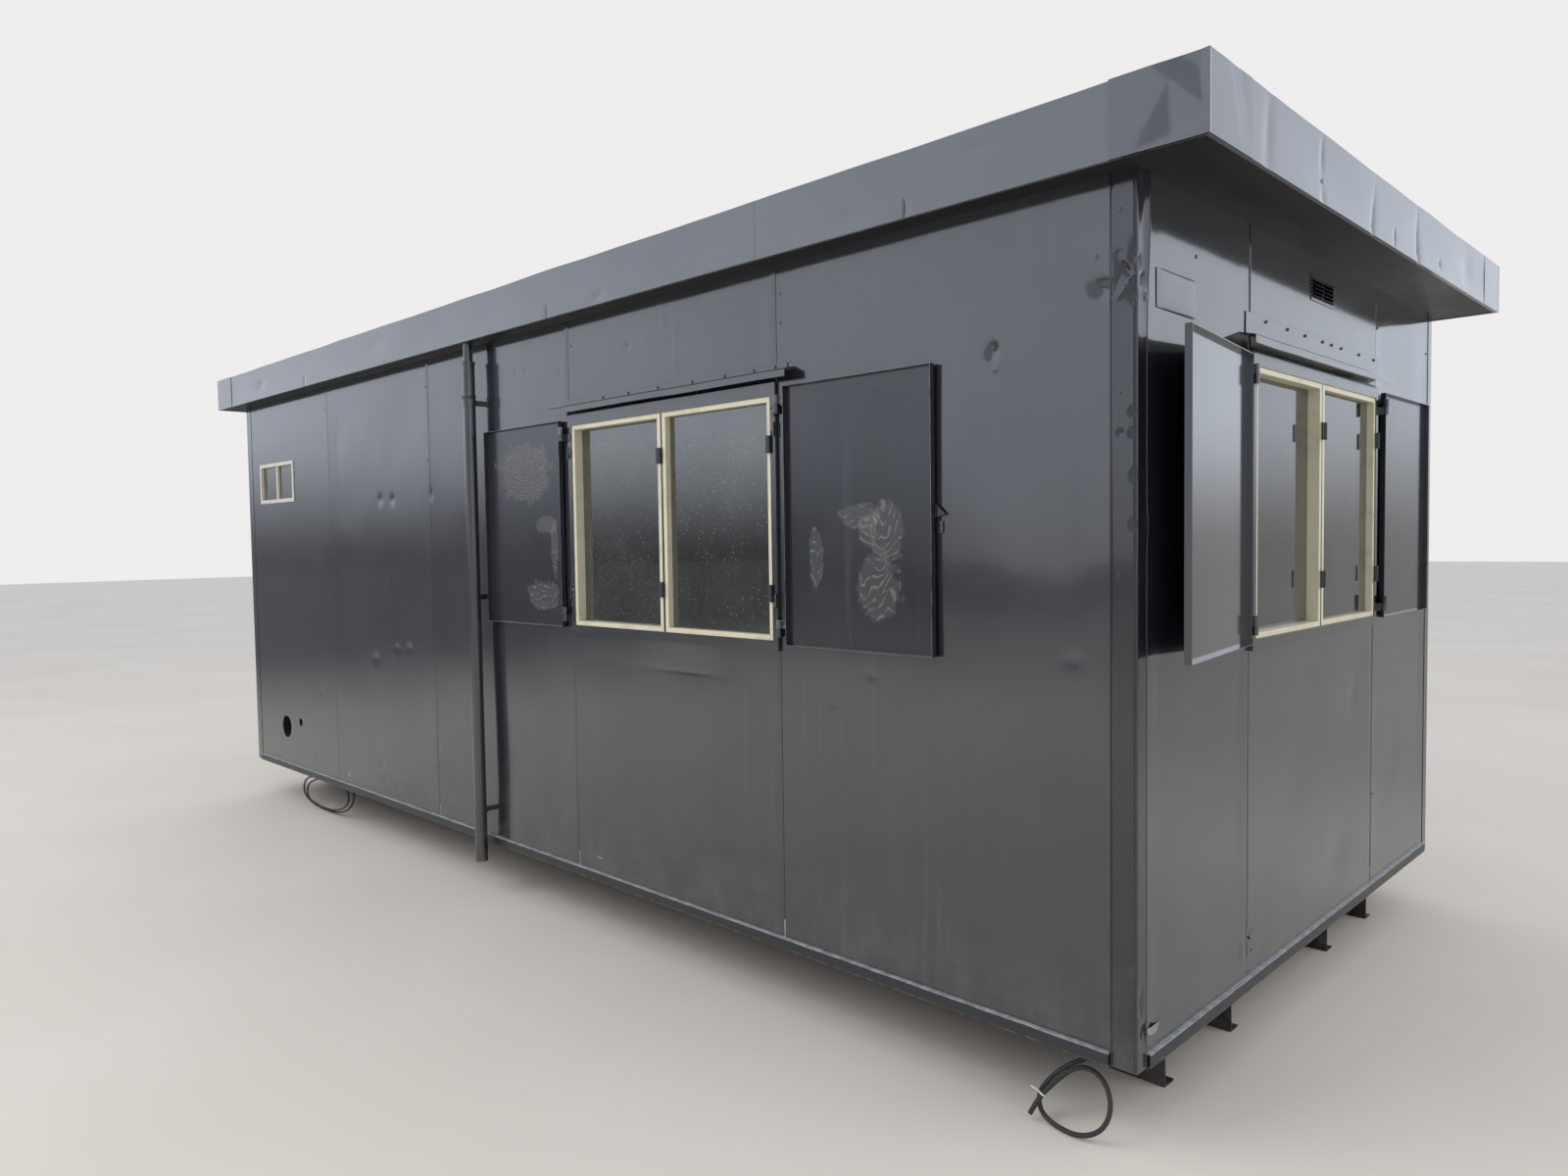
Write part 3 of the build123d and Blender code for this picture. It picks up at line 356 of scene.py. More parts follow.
class Effects:
    """Surface effects that several finishes share, each a shader node group built once."""

    def __init__(self) -> None:
        """Build every group."""
        self.roller = self._roller_texture()
        self.dent = self._dent()
        self.dust = self._ground_dust()
        self.scratches = self._scratches()
        self.runs = self._water_runs()
        self.smear = self._wiped_smear()
        self.spots = self._rain_spots()
        self.grain = self._timber_grain()

    @staticmethod
    def _roller_texture() -> bpy.types.NodeTree:
        """Height of a rolled-on coating over slightly wavy sheet.

        Returns:
            The node group.
        """
        group = Group("roller_texture", Place=VECTOR, Stipple=0.00006, Wave=0.002)
        fine, ridges = group.noise(240.0, 2.0), group.noise(70.0, 2.0, along=(1.0, 1.0, 0.22))
        skin = group.times(group.plus(fine, ridges), group.given["Stipple"])
        waves = group.times(group.noise(1.7, 1.5, 0.4, (1.0, 1.0, 0.55)), group.given["Wave"])
        return group.give(Height=group.plus(skin, waves))

    @staticmethod
    def _dent() -> bpy.types.NodeTree:
        """Height of one round or stretched dent pressed into a sheet.

        Returns:
            The node group.
        """
        group = Group("dent", Place=VECTOR, Centre=VECTOR, Size=(0.03, 0.03, 0.03), Depth=0.004)
        offset = group.vector("SUBTRACT", group.place, group.given["Centre"])
        scaled = group.vector("DIVIDE", offset, group.given["Size"])
        square = group.vector("DOT_PRODUCT", scaled, scaled, result=1)
        bowl = group.math("EXPONENT", group.times(square, -1.0))
        return group.give(Height=group.times(group.times(bowl, group.given["Depth"]), -1.0))

    @staticmethod
    def _ground_dust() -> bpy.types.NodeTree:
        """Mask of dust and splash that thins out above the ground.

        Returns:
            The node group.
        """
        group = Group("ground_dust", Place=VECTOR, Reach=0.9, Floor=0.0)
        low = group.ramp(group.math("DIVIDE", group.axes(group.place)[2], group.given["Reach"]), 1.0, 0.1)
        cloud, specks = group.patches(0.35, 0.75, 7.0, 5.0, 0.65), group.patches(0.55, 0.72, 190.0, 2.0, 0.6)
        mixed = group.plus(group.times(cloud, 0.75), group.times(specks, 0.5))
        everywhere = group.times(mixed, group.given["Floor"])
        return group.give(Mask=group.plus(group.times(low, mixed), everywhere, clamp=True))

    @staticmethod
    def _scratches() -> bpy.types.NodeTree:
        """Mask of thin broken scratches in one direction of the sheet.

        Returns:
            The node group.
        """
        group = Group("scratches", Place=VECTOR, Scale=3.0, Width=0.004)
        bent = group.noise(3.0, 2.0)
        bend = group.first("ShaderNodeCombineXYZ", {0: bent, 1: bent, 2: bent})
        moved = group.vector("ADD", group.place, group.vector("MULTIPLY", bend, (0.12, 0.12, 0.12)))
        inputs = {"Vector": moved, "Scale": group.given["Scale"]}
        cells = group.add("ShaderNodeTexVoronoi", inputs, feature="DISTANCE_TO_EDGE").outputs["Distance"]
        line = group.math("LESS_THAN", cells, group.given["Width"])
        return group.give(Mask=group.times(line, group.patches(0.62, 0.7, 5.0, 3.0)))

    @staticmethod
    def _water_runs() -> bpy.types.NodeTree:
        """Mask of faint upright runs that rain leaves on a wall.

        Returns:
            The node group.
        """
        group = Group("water_runs", Place=VECTOR, Scale=30.0)
        narrow = group.patches(0.5, 0.75, group.given["Scale"], 4.0, 0.6, (1.0, 1.0, 0.03))
        return group.give(Mask=group.times(narrow, group.patches(0.4, 0.7, 1.3, 2.0, 0.5, (1.0, 1.0, 0.4))))

    @staticmethod
    def _wiped_smear() -> bpy.types.NodeTree:
        """Mask of a dried residue, spread in arcs round a centre.

        Returns:
            The node group.
        """
        group = Group("wiped_smear", Place=VECTOR, Centre=VECTOR, Size=(0.2, 0.2, 0.2), Lines=60.0)
        offset = group.vector("SUBTRACT", group.place, group.given["Centre"])
        reach = group.vector("DIVIDE", offset, group.given["Size"])
        share = group.vector("LENGTH", reach, result=1)
        sweep = group.vector("LENGTH", group.vector("SUBTRACT", reach, (0.0, 0.0, 1.1)), result=1)
        bends = group.noise(9.0, 2.5, 0.5, (1.0, 1.0, 0.7))
        phase = group.more(group.times(sweep, group.given["Lines"]), bends, 44.0)
        lines = group.ramp(group.math("SINE", phase), 0.45, 0.95)
        inside = group.ramp(group.more(share, group.noise(15.0, 4.0, 0.6), 1.1), 1.42, 1.24)
        drawn = group.times(lines, group.patches(0.40, 0.58, 45.0, 5.0, 0.7))
        return group.give(Mask=group.times(inside, group.more(0.24, drawn, 0.76)))

    @staticmethod
    def _rain_spots() -> bpy.types.NodeTree:
        """Mask of dried drops on glass.

        Returns:
            The node group.
        """
        group = Group("rain_spots", Place=VECTOR, Scale=90.0)
        inputs = {"Vector": group.place, "Scale": group.given["Scale"]}
        cells = group.add("ShaderNodeTexVoronoi", inputs, feature="F1").outputs
        chance = group.first("ShaderNodeSeparateColor", {0: cells["Color"]})
        return group.give(Mask=group.times(group.ramp(cells["Distance"], 0.26, 0.2), group.ramp(chance, 0.70, 0.76)))

    @staticmethod
    def _timber_grain() -> bpy.types.NodeTree:
        """Height and wear mask of painted timber.

        Returns:
            The node group.
        """
        group = Group("painted_timber", Place=VECTOR, Wear=0.5)
        mixed = group.times(group.plus(group.noise(38.0, 6.0, 0.72), group.noise(4.0, 3.0)), 0.5)
        limit = group.math("SUBTRACT", 0.74, group.times(group.given["Wear"], 0.16))
        worn = group.ramp(group.math("SUBTRACT", mixed, limit), 0.0, 0.03)
        brush = group.noise(30.0, 3.0, along=(9.0, 9.0, 1.0))
        return group.give(Height=group.times(brush, 0.00012), Worn=worn)


@dataclass(frozen=True)
class Smear:
    """One area of dried residue on a sheet.

    Attributes:
        centre: Its centre.
        size: Its half sizes along the axes.
        lines: How close its arcs lie.
    """

    centre: Point
    size: Point
    lines: float = 60.0


class Surface(Graph):
    """A material under way, with its Object coordinates and its Principled shader."""

    def __init__(self, name: str) -> None:
        """Start an empty material.

        Args:
            name: Name of the finish.
        """
        self.material = bpy.data.materials.new(name)
        self.material.use_nodes = True
        super().__init__(self.material.node_tree)
        self.shader = self.tree.nodes["Principled BSDF"]
        self.place = self.add("ShaderNodeTexCoord").outputs["Object"]

    def effect(self, group: bpy.types.NodeTree, **values: object) -> bpy.types.bpy_prop_collection:
        """Place a shared effect.

        Args:
            group: The effect's node group.
            **values: Its inputs by name, apart from Place.

        Returns:
            Its results by name.
        """
        return self.add("ShaderNodeGroup", {"Place": self.place, **values}, node_tree=group).outputs

    def outside(self, margin: float) -> bpy.types.NodeSocket:
        """Measure how far a place lies outside the walls' faces.

        Args:
            margin: Distance that the faces are moved out first.

        Returns:
            The distance, below 0 inside.
        """
        across, along, _ = self.axes(self.vector("ABSOLUTE", self.place))
        beyond = self.math("SUBTRACT", across, LEVELS.x_end + margin)
        return self.math("MAXIMUM", beyond, self.math("SUBTRACT", along, LEVELS.y_side + margin))

    def set(self, **values: object) -> None:
        """Set or link the shader's inputs, with spaces in their names written as underscores."""
        for name, value in values.items():
            self.feed(self.shader.inputs[name.replace("_", " ")], value)

    def bump(self, height: bpy.types.NodeSocket) -> None:
        """Turn a height in metres into the shader's normal."""
        node = self.add("ShaderNodeBump", {"Height": height, "Strength": 1.0, "Distance": 1.0})
        self.set(Normal=node.outputs[0])


@dataclass(frozen=True)
class Finish:
    """A finish, which one material shows; each kind of finish paints in its own way.

    Attributes:
        name: Name of the finish.
    """

    name: str

    def build(self, effects: Effects) -> bpy.types.Material:
        """Make the material.

        Args:
            effects: The shared effects.

        Returns:
            The finished material.
        """
        surface = Surface(self.name)
        self.paint(surface, effects)
        return surface.material

    def paint(self, surface: Surface, effects: Effects) -> None:
        """Add the finish to a plain surface."""
        raise NotImplementedError


@dataclass(frozen=True)
class GlossCoating(Finish):
    """Gloss coating rolled on steel sheet.

    Attributes:
        colour: Its colour.
        shade: A darker colour that it varies to.
        gloss: Roughness of the clean coating.
        wave: Height of the sheet's waves.
        dents: Dents in the sheet.
        smears: Dried residue on the sheet.
        dust: Height above the ground that splashes reach.
        lined: Whether its inner face is the room's pale lining.
        coat: Refractive index of its clear top coat.
        rim: Whether the front edges of a leaf's rim get a painted highlight, in patches like wear.
    """

    colour: Colour = (0.019, 0.022, 0.029, 1.0)
    shade: Colour = (0.013, 0.016, 0.021, 1.0)
    gloss: float = 0.15
    wave: float = 0.002
    dents: tuple[Dent, ...] = ()
    smears: tuple[Smear, ...] = ()
    dust: float = 0.7
    lined: bool = False
    coat: float = 1.78
    rim: bool = False

    def paint(self, surface: Surface, effects: Effects) -> None:
        """Add the coating, with its dust, scratches, lining, painted highlight on the rim, residue and dents.

        Args:
            surface: The material under way.
            effects: The shared effects.
        """
        base = surface.blend(surface.patches(0.3, 0.7, 2.2, 4.0), self.colour, self.shade)
        base = surface.tint(base, surface.effect(effects.runs)["Mask"], 0.16, RAIN_FILM)
        dust = surface.effect(effects.dust, Reach=self.dust, Floor=0.03)["Mask"]
        base = surface.tint(base, dust, 0.4, DUST)
        base = surface.tint(base, surface.effect(effects.scratches)["Mask"], 0.5, SCRATCHED)
        rough = surface.more(self.gloss, dust, 0.25)
        rough = surface.more(rough, surface.patches(0.3, 0.8, 5.0, 4.0, 0.6), 0.08)
        if self.lined:
            indoors = surface.math("LESS_THAN", surface.outside(-LINING_DEPTH), 0.0)
            base = surface.blend(indoors, base, LINING_PAINT)
            rough = surface.more(rough, indoors, 0.4)
        depth = surface.axes(surface.place)[1]
        if self.rim:
            # Painted highlight along the front edges of the leaf's rim, in patches like wear.
            edge = surface.times(surface.ramp(depth, *RIM_FACE), surface.patches(0.25, 0.6, 20.0, 4.0, 0.6))
            base = surface.tint(base, edge, 0.8, RIM_HIGHLIGHT)
        for smear in self.smears:
            spread = surface.effect(effects.smear, Centre=smear.centre, Size=smear.size, Lines=smear.lines)
            mask = surface.times(spread["Mask"], surface.ramp(depth, *TRAY_FACE))
            base = surface.tint(base, mask, 0.34, RESIDUE)
            rough = surface.more(rough, mask, 0.3)
        surface.set(Base_Color=base, Roughness=rough, Specular_IOR_Level=0.8)
        surface.set(Coat_Weight=1.0, Coat_IOR=self.coat, Coat_Roughness=0.08)
        height = surface.effect(effects.roller, Wave=self.wave)["Height"]
        for dent in self.dents:
            centre, size = (dent.along, -LEVELS.y_side, dent.rise), (dent.width, 0.1, dent.height)
            pressed = surface.effect(effects.dent, Centre=centre, Size=size, Depth=dent.depth)
            height = surface.plus(height, pressed["Height"])
        surface.bump(height)


LEAF_SMEARS: tuple[Smear, ...] = (
    Smear((0.270, -1.408, 1.985), (0.26, 1.0, 0.17), 64.0),
    Smear((0.440, -1.408, 1.750), (0.11, 1.0, 0.045), 26.0),
    Smear((0.500, -1.408, 1.640), (0.035, 1.0, 0.15), 34.0),
    Smear((0.400, -1.408, 1.440), (0.15, 1.0, 0.08), 26.0),
    Smear((2.245, -1.408, 1.740), (0.115, 1.0, 0.055), 18.0),
    Smear((2.280, -1.408, 1.695), (0.050, 1.0, 0.070), 16.0),
    Smear((2.365, -1.408, 1.690), (0.080, 1.0, 0.120), 20.0),
    Smear((2.320, -1.408, 1.515), (0.115, 1.0, 0.135), 26.0),
    Smear((2.055, -1.408, 1.600), (0.038, 1.0, 0.140), 18.0),
)


@dataclass(frozen=True)
class RailCoating(Finish):
    """Coating of the base rail, with a painted highlight along its ledge, stronger in patches like wear, and worn brown
    along its lower edge.

    Attributes:
        colour: Its colour.
        ledge: Colour of the painted highlight along its ledge.
        foot: Colour where its lower edge is worn.
    """

    name: str = "base_rail_coating"
    colour: Colour = (0.024, 0.028, 0.034, 1.0)
    ledge: Colour = (0.40, 0.41, 0.41, 1.0)
    foot: Colour = (0.10, 0.085, 0.065, 1.0)

    def paint(self, surface: Surface, effects: Effects) -> None:
        """Add the coating, with a painted highlight along its ledge and wear along its lower edge.

        Args:
            surface: The material under way.
            effects: The shared effects.
        """
        rise = surface.axes(surface.place)[2]
        uneven = surface.times(surface.noise(14.0, 4.0, 0.6), 0.006)
        # Painted highlight along the ledge, in patches like wear; the lower edge is worn brown.
        high = surface.ramp(surface.plus(rise, uneven), *RAIL_LEDGE)
        low = surface.ramp(surface.math("SUBTRACT", rise, uneven), *RAIL_FOOT)
        wear_and_sheen_patches = surface.patches(0.40, 0.62, 26.0, 5.0, 0.7)
        base = surface.blend(surface.times(high, surface.more(0.55, wear_and_sheen_patches, 0.45)), self.colour, self.ledge)
        base = surface.blend(surface.times(low, wear_and_sheen_patches), base, self.foot)
        dust = surface.effect(effects.dust, Reach=0.3, Floor=0.1)["Mask"]
        base = surface.tint(base, dust, 0.12, DUST)
        surface.set(Base_Color=base, Roughness=surface.more(0.30, dust, 0.3), Specular_IOR_Level=0.7)
        surface.bump(surface.effect(effects.roller, Wave=0.0008)["Height"])


@dataclass(frozen=True)
class MattCoating(Finish):
    """Matt coating of the skids, scuffed and dusty.

    Attributes:
        colour: Its colour.
        worn: Colour where it is scuffed.
    """

    colour: Colour
    worn: Colour

    def paint(self, surface: Surface, effects: Effects) -> None:
        """Add the coating, with its scuffs, dust and pits.

        Args:
            surface: The material under way.
            effects: The shared effects.
        """
        base = surface.blend(surface.patches(0.52, 0.68, 22.0, 5.0, 0.7), self.colour, self.worn)
        dust = surface.effect(effects.dust, Reach=0.35, Floor=0.2)["Mask"]
        base = surface.tint(base, dust, 0.5, (0.24, 0.22, 0.19, 1.0))
        surface.set(Base_Color=base, Roughness=surface.more(0.5, dust, 0.3))
        surface.bump(surface.times(surface.noise(160.0, 3.0), 0.0002))


@dataclass(frozen=True)
class FacedBoard(Finish):
    """Sheet or board with a satin face: soffit, roof covering and floor.

    Attributes:
        colour: Its colour.
        stain: Colour of its weather stains.
        rough: Its roughness.
    """

    colour: Colour
    stain: Colour
    rough: float = 0.5

    def paint(self, surface: Surface, effects: Effects) -> None:
        """Add the face, with its stains.

        Args:
            surface: The material under way.
            effects: The shared effects.
        """
        clouds, fine = surface.patches(0.38, 0.72, 1.6, 6.0, 0.62), surface.patches(0.45, 0.75, 45.0, 4.0, 0.7)
        stained = surface.plus(surface.times(clouds, 0.7), surface.times(fine, 0.3), clamp=True)
        base = surface.blend(stained, self.colour, self.stain)
        surface.set(Base_Color=base, Roughness=surface.more(self.rough, stained, 0.2))
        surface.bump(surface.effect(effects.roller, Stipple=0.0001, Wave=0.0025)["Height"])


@dataclass(frozen=True)
class CreamTimber(Finish):
    """Cream gloss paint on timber casements, worn and a little dirty, with dark paint on their hinges.

    Attributes:
        colour: Its colour.
        soiled: Colour where it is dirty.
        bare: Colour where the paint is worn off.
        hinge: Colour of the hinges, which stand out most.
    """

    name: str = "cream_painted_timber"
    colour: Colour = (0.74, 0.68, 0.50, 1.0)
    soiled: Colour = (0.40, 0.36, 0.26, 1.0)
    bare: Colour = (0.16, 0.13, 0.10, 1.0)
    hinge: Colour = (0.040, 0.044, 0.052, 1.0)

    def paint(self, surface: Surface, effects: Effects) -> None:
        """Add the paint, with its dirt, wear, grain and dark hinges.

        Args:
            surface: The material under way.
            effects: The shared effects.
        """
        grain = surface.effect(effects.grain, Wear=0.5)
        base = surface.tint(self.colour, surface.patches(0.45, 0.8, 9.0, 6.0, 0.7), 0.55, self.soiled)
        base = surface.blend(grain["Worn"], base, self.bare)
        proud = surface.math("GREATER_THAN", surface.outside(HINGE_STAND), 0.0)
        base = surface.blend(proud, base, self.hinge)
        surface.set(Base_Color=base, Roughness=surface.more(0.34, grain["Worn"], 0.4))
        surface.bump(grain["Height"])


@dataclass(frozen=True)
class DustyGlass(Finish):
    """Clear glass with a film of dust and dried rain spots.

    Attributes:
        film: How thick the film is.
    """

    name: str = "dusty_window_glass"
    film: float = 0.10

    def paint(self, surface: Surface, effects: Effects) -> None:
        """Add the glass, with its film, spots and streaks.

        Args:
            surface: The material under way.
            effects: The shared effects.
        """
        spots, small = (surface.effect(effects.spots, Scale=scale)["Mask"] for scale in (85.0, 210.0))
        marks = surface.plus(surface.times(spots, 0.5), surface.times(small, 0.3))
        film = surface.patches(0.3, 0.8, 3.0, 5.0, 0.65)
        cover = surface.plus(surface.times(film, self.film), marks, clamp=True)
        cover = surface.more(cover, surface.effect(effects.runs, Scale=60.0)["Mask"], 0.08, clamp=True)
        base = surface.blend(cover, (0.006, 0.008, 0.007, 1.0), (0.33, 0.34, 0.31, 1.0))
        surface.set(Base_Color=base, Roughness=surface.more(0.03, cover, 0.4), IOR=1.6)
        surface.set(Alpha=surface.more(0.78, cover, 0.22, clamp=True))
        surface.set(Coat_Weight=1.0, Coat_IOR=2.65, Coat_Roughness=0.02)


@dataclass(frozen=True)
class CoatedMetal(Finish):
    """Small metal or plastic parts with a plain finish.

    Attributes:
        colour: Its colour.
        metallic: How metallic it is.
        rough: Its roughness.
    """

    colour: Colour
    metallic: float = 0.0
    rough: float = 0.4

    def paint(self, surface: Surface, effects: Effects) -> None:
        """Add the finish, a little dirty.

        Args:
            surface: The material under way.
            effects: The shared effects.
        """
        soil = surface.patches(0.4, 0.85, 18.0, 5.0, 0.65)
        dull = tuple(0.55 * value for value in self.colour[:3]) + (1.0,)
        base = surface.tint(self.colour, soil, 0.6, dull)
        surface.set(Base_Color=base, Roughness=surface.more(self.rough, soil, 0.25), Metallic=self.metallic)
        surface.bump(surface.effect(effects.roller, Stipple=0.00002, Wave=0.0)["Height"])


def link(name: str, data: bpy.types.ID) -> bpy.types.Object:
    """Make an object and add it to the scene.

    Args:
        name: Name of the object.
        data: Its mesh, curve, lamp or camera.

    Returns:
        The object.
    """
    made = bpy.data.objects.new(name, data)
    bpy.context.scene.collection.objects.link(made)
    return made


@dataclass
class Cable:
    """A supply cable that hangs out under the front rail.

    Attributes:
        name: Name of the piece.
        node: CAD node that it stands for.
        route: Its route in millimetres, from its gland.
        diameter: Its diameter in metres.
        length: Its length in metres; not used.
        far_end: What its other end is.
        on_it: Pieces that sit on it; not used.
    """

    name: str
    node: str
    route: tuple[Point, ...]
    diameter: float
    length: float
    far_end: str
    on_it: tuple[str, ...] = ()

    def build(self, finish: bpy.types.Material) -> bpy.types.Object:
        """Args:
            finish: Material of its sheath.

        Returns:
            The cable.
        """
        curve = bpy.data.curves.new(self.name, "CURVE")
        curve.dimensions = "3D"
        curve.resolution_u = 10
        curve.bevel_depth = self.diameter / 2
        curve.bevel_resolution = 5
        curve.use_fill_caps = True
        spline = curve.splines.new("NURBS")
        spline.points.add(len(self.route) - 1)
        for point, place in zip(spline.points, self.route):
            point.co = (*(value / 1000 for value in place), 1.0)
        spline.order_u = 3
        spline.use_endpoint_u = True
        curve.materials.append(finish)
        cable = link(self.name, curve)
        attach(cable, CABIN)
        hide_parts(self.node)
        return cable


RIGHT_ROUTE: tuple[Point, ...] = (
    (3066, -1322, 304),
    (3066, -1322, 262),
    (3048, -1326, 222),
    (3006, -1332, 191),
    (2973, -1340, 170),
    (2938, -1350, 145),
    (2908, -1361, 112),
    (2886, -1373, 80),
    (2882, -1384, 57),
    (2890, -1395, 36),
    (2908, -1405, 21),
    (2938, -1413, 12),
    (2978, -1419, 8),
    (3018, -1421, 9),
    (3058, -1419, 21),
    (3093, -1411, 47),
    (3110, -1399, 87),
    (3106, -1386, 127),
    (3086, -1374, 158),
    (3052, -1363, 176),
    (3008, -1356, 176),
    (2966, -1356, 151),
    (2937, -1365, 121),
    (2914, -1382, 93),
    (2898, -1401, 68),
    (2887, -1417, 44),
    (2878, -1427, 20),
)
LEFT_OUTER_ROUTE: tuple[Point, ...] = (
    (-2325, -1296, 304),
    (-2325, -1296, 266),
    (-2346, -1296, 230),
    (-2395, -1297, 200),
    (-2472, -1299, 178),
    (-2558, -1302, 170),
    (-2617, -1305, 152),
    (-2651, -1308, 118),
    (-2657, -1311, 78),
    (-2628, -1314, 45),
    (-2568, -1317, 26),
    (-2480, -1320, 13),
    (-2370, -1323, 6),
    (-2240, -1324, 6),
    (-2120, -1324, 15),
    (-2012, -1322, 34),
    (-1930, -1318, 70),
    (-1886, -1312, 120),
    (-1892, -1307, 172),
    (-1926, -1302, 203),
    (-1972, -1299, 220),
    (-2014, -1297, 238),
    (-2038, -1296, 268),
    (-2038, -1296, 304),
)
LEFT_INNER_ROUTE: tuple[Point, ...] = (
    (-2262, -1326, 304),
    (-2262, -1326, 268),
    (-2282, -1326, 234),
    (-2325, -1327, 206),
    (-2398, -1329, 180),
    (-2468, -1331, 160),
    (-2515, -1333, 135),
    (-2539, -1335, 100),
    (-2531, -1337, 64),
    (-2493, -1339, 42),
    (-2430, -1341, 32),
    (-2325, -1343, 24),
    (-2190, -1343, 25),
    (-2070, -1342, 38),
    (-1972, -1339, 66),
    (-1914, -1336, 106),
    (-1908, -1332, 153),
    (-1944, -1329, 189),
    (-1994, -1327, 211),
    (-2044, -1326, 225),
    (-2085, -1326, 243),
    (-2107, -1326, 272),
    (-2107, -1326, 304),
)


def spaced(low: float, high: float, count: int) -> list[float]:
    """Divide a length into equal steps and give the places of their ends."""
    return [low + (high - low) * index / count for index in range(count + 1)]


def grid_lines(low: float, high: float, step: float, marks: list[tuple[float, float]]) -> list[float]:
    """Space the lines of a grid, closer together round the marks.

    Args:
        low: First line.
        high: Last line.
        step: Usual distance between lines.
        marks: Centre and reach of each place that needs closer lines.

    Returns:
        The places of the lines in order.
    """
    shares = (-2.2, -1.5, -1.0, -0.6, -0.3, 0.0, 0.3, 0.6, 1.0, 1.5, 2.2)
    closest = 0.003
    lines = spaced(low, high, max(1, round((high - low) / step)))[1:-1]
    lines += [centre + share * reach for centre, reach in marks for share in shares]
    kept = [low]
    for line in sorted(lines):
        if line - kept[-1] > closest and line < high - closest:
            kept.append(line)
    return [*kept, high]


def circle(sides: int, last: int = 0) -> list[tuple[float, float]]:
    """Give the cosine and sine of each step round a circle, and of some steps more."""
    turns = [2 * math.pi * step / sides for step in range(sides + last)]
    return [(math.cos(turn), math.sin(turn)) for turn in turns]


class Stock:
    """Sheet and bar of one piece, gathered in metres and finished as one object."""

    def __init__(self) -> None:
        """Start with nothing."""
        self.mesh = bmesh.new()

    def loft(self, rings: list[list[Point]], closed: bool = True, capped: bool = True) -> None:
        """Join rings of points by faces.

        Args:
            rings: Rings with the same number of points.
            closed: Join each ring's last point to its first.
            capped: Close both ends.
        """
        rows = [[self.mesh.verts.new(point) for point in ring] for ring in rings]
        count = len(rows[0])
        for first, second in zip(rows, rows[1:]):
            for index in range(count if closed else count - 1):
                after = (index + 1) % count
                self.mesh.faces.new((first[index], first[after], second[after], second[index]))
        if capped:
            self.mesh.faces.new(rows[0][::-1])
            self.mesh.faces.new(rows[-1])

    def block(self, low: Point, high: Point, ease: float = 0.001) -> None:
        """Add a block with eased edges.

        Args:
            low: Its lowest corner.
            high: Its highest corner.
            ease: Width of the eased edges.
        """
        made = bmesh.ops.create_cube(self.mesh, size=1.0)
        for vertex in made["verts"]:
            vertex.co = [a + (value + 0.5) * (b - a) for a, b, value in zip(low, high, vertex.co)]
        if ease:
            edges = list({edge for vertex in made["verts"] for edge in vertex.link_edges})
            bmesh.ops.bevel(self.mesh, geom=edges, offset=ease, segments=2, affect="EDGES", profile=0.5)

    def rod(self, path: list[Point], radius: float, sides: int = 12) -> None:
        """Add a round rod along a path.

        Args:
            path: Points on its centre line.
            radius: Its radius.
            sides: Faces round it.
        """
        points = [Vector(point) for point in path]
        rings = []
        across = None
        for index, point in enumerate(points):
            ahead = (points[min(index + 1, len(points) - 1)] - points[max(index - 1, 0)]).normalized()
            if across is None:
                across = ahead.orthogonal().normalized()
            across = (across - ahead * across.dot(ahead)).normalized()
            other = ahead.cross(across)
            rings.append([tuple(point + radius * (across * c + other * s)) for c, s in circle(sides)])
        self.loft(rings)

    def turned(self, place: Point, facing: Point, outline: list[tuple[float, float]], sides: int = 24) -> None:
        """Add a turned part.

        Args:
            place: Centre of its foot.
            facing: Direction of its axis.
            outline: Radius and height of each ring, from its foot up.
            sides: Faces round it.
        """
        axis = Vector(facing).normalized()
        across = axis.orthogonal().normalized()
        other = axis.cross(across)
        rings = []
        for radius, height in outline:
            centre = Vector(place) + axis * height
            rings.append([tuple(centre + radius * (across * c + other * s)) for c, s in circle(sides)])
        self.loft(rings)

    def piece(
        self,
        name: str,
        finish: bpy.types.Material,
        slot: str,
        nodes: tuple[str, ...],
        sharp: float,
    ) -> bpy.types.Object:
        """Turn the gathered stock into a piece of the cabin.

        Args:
            name: Name of the piece.
            finish: Its material.
            slot: Slot that its finish comes from; not used.
            nodes: CAD nodes that it stands for.
            sharp: Angle in degrees above which an edge stays sharp.

        Returns:
            The piece.
        """
        bmesh.ops.recalc_face_normals(self.mesh, faces=self.mesh.faces)
        limit = math.radians(sharp)
        for face in self.mesh.faces:
            face.smooth = True
        for edge in self.mesh.edges:
            edge.smooth = len(edge.link_faces) == 2 and edge.calc_face_angle(0.0) < limit
        data = bpy.data.meshes.new(name)
        self.mesh.to_mesh(data)
        self.mesh.free()
        data.materials.append(finish)
        return declare(link(name, data), nodes)


def declare(piece: bpy.types.Object, nodes: tuple[str, ...] = (), body: str = CABIN) -> bpy.types.Object:
    """Parent a piece to the body that it rides on, and hide the CAD nodes that it stands for.

    Args:
        piece: The piece.
        nodes: CAD nodes that it stands for.
        body: Body that it rides on.

    Returns:
        The same piece.
    """
    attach(piece, body)
    if nodes:
        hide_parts(*nodes)
    log.info("made %s, %d faces", piece.name, len(piece.data.polygons))
    return piece


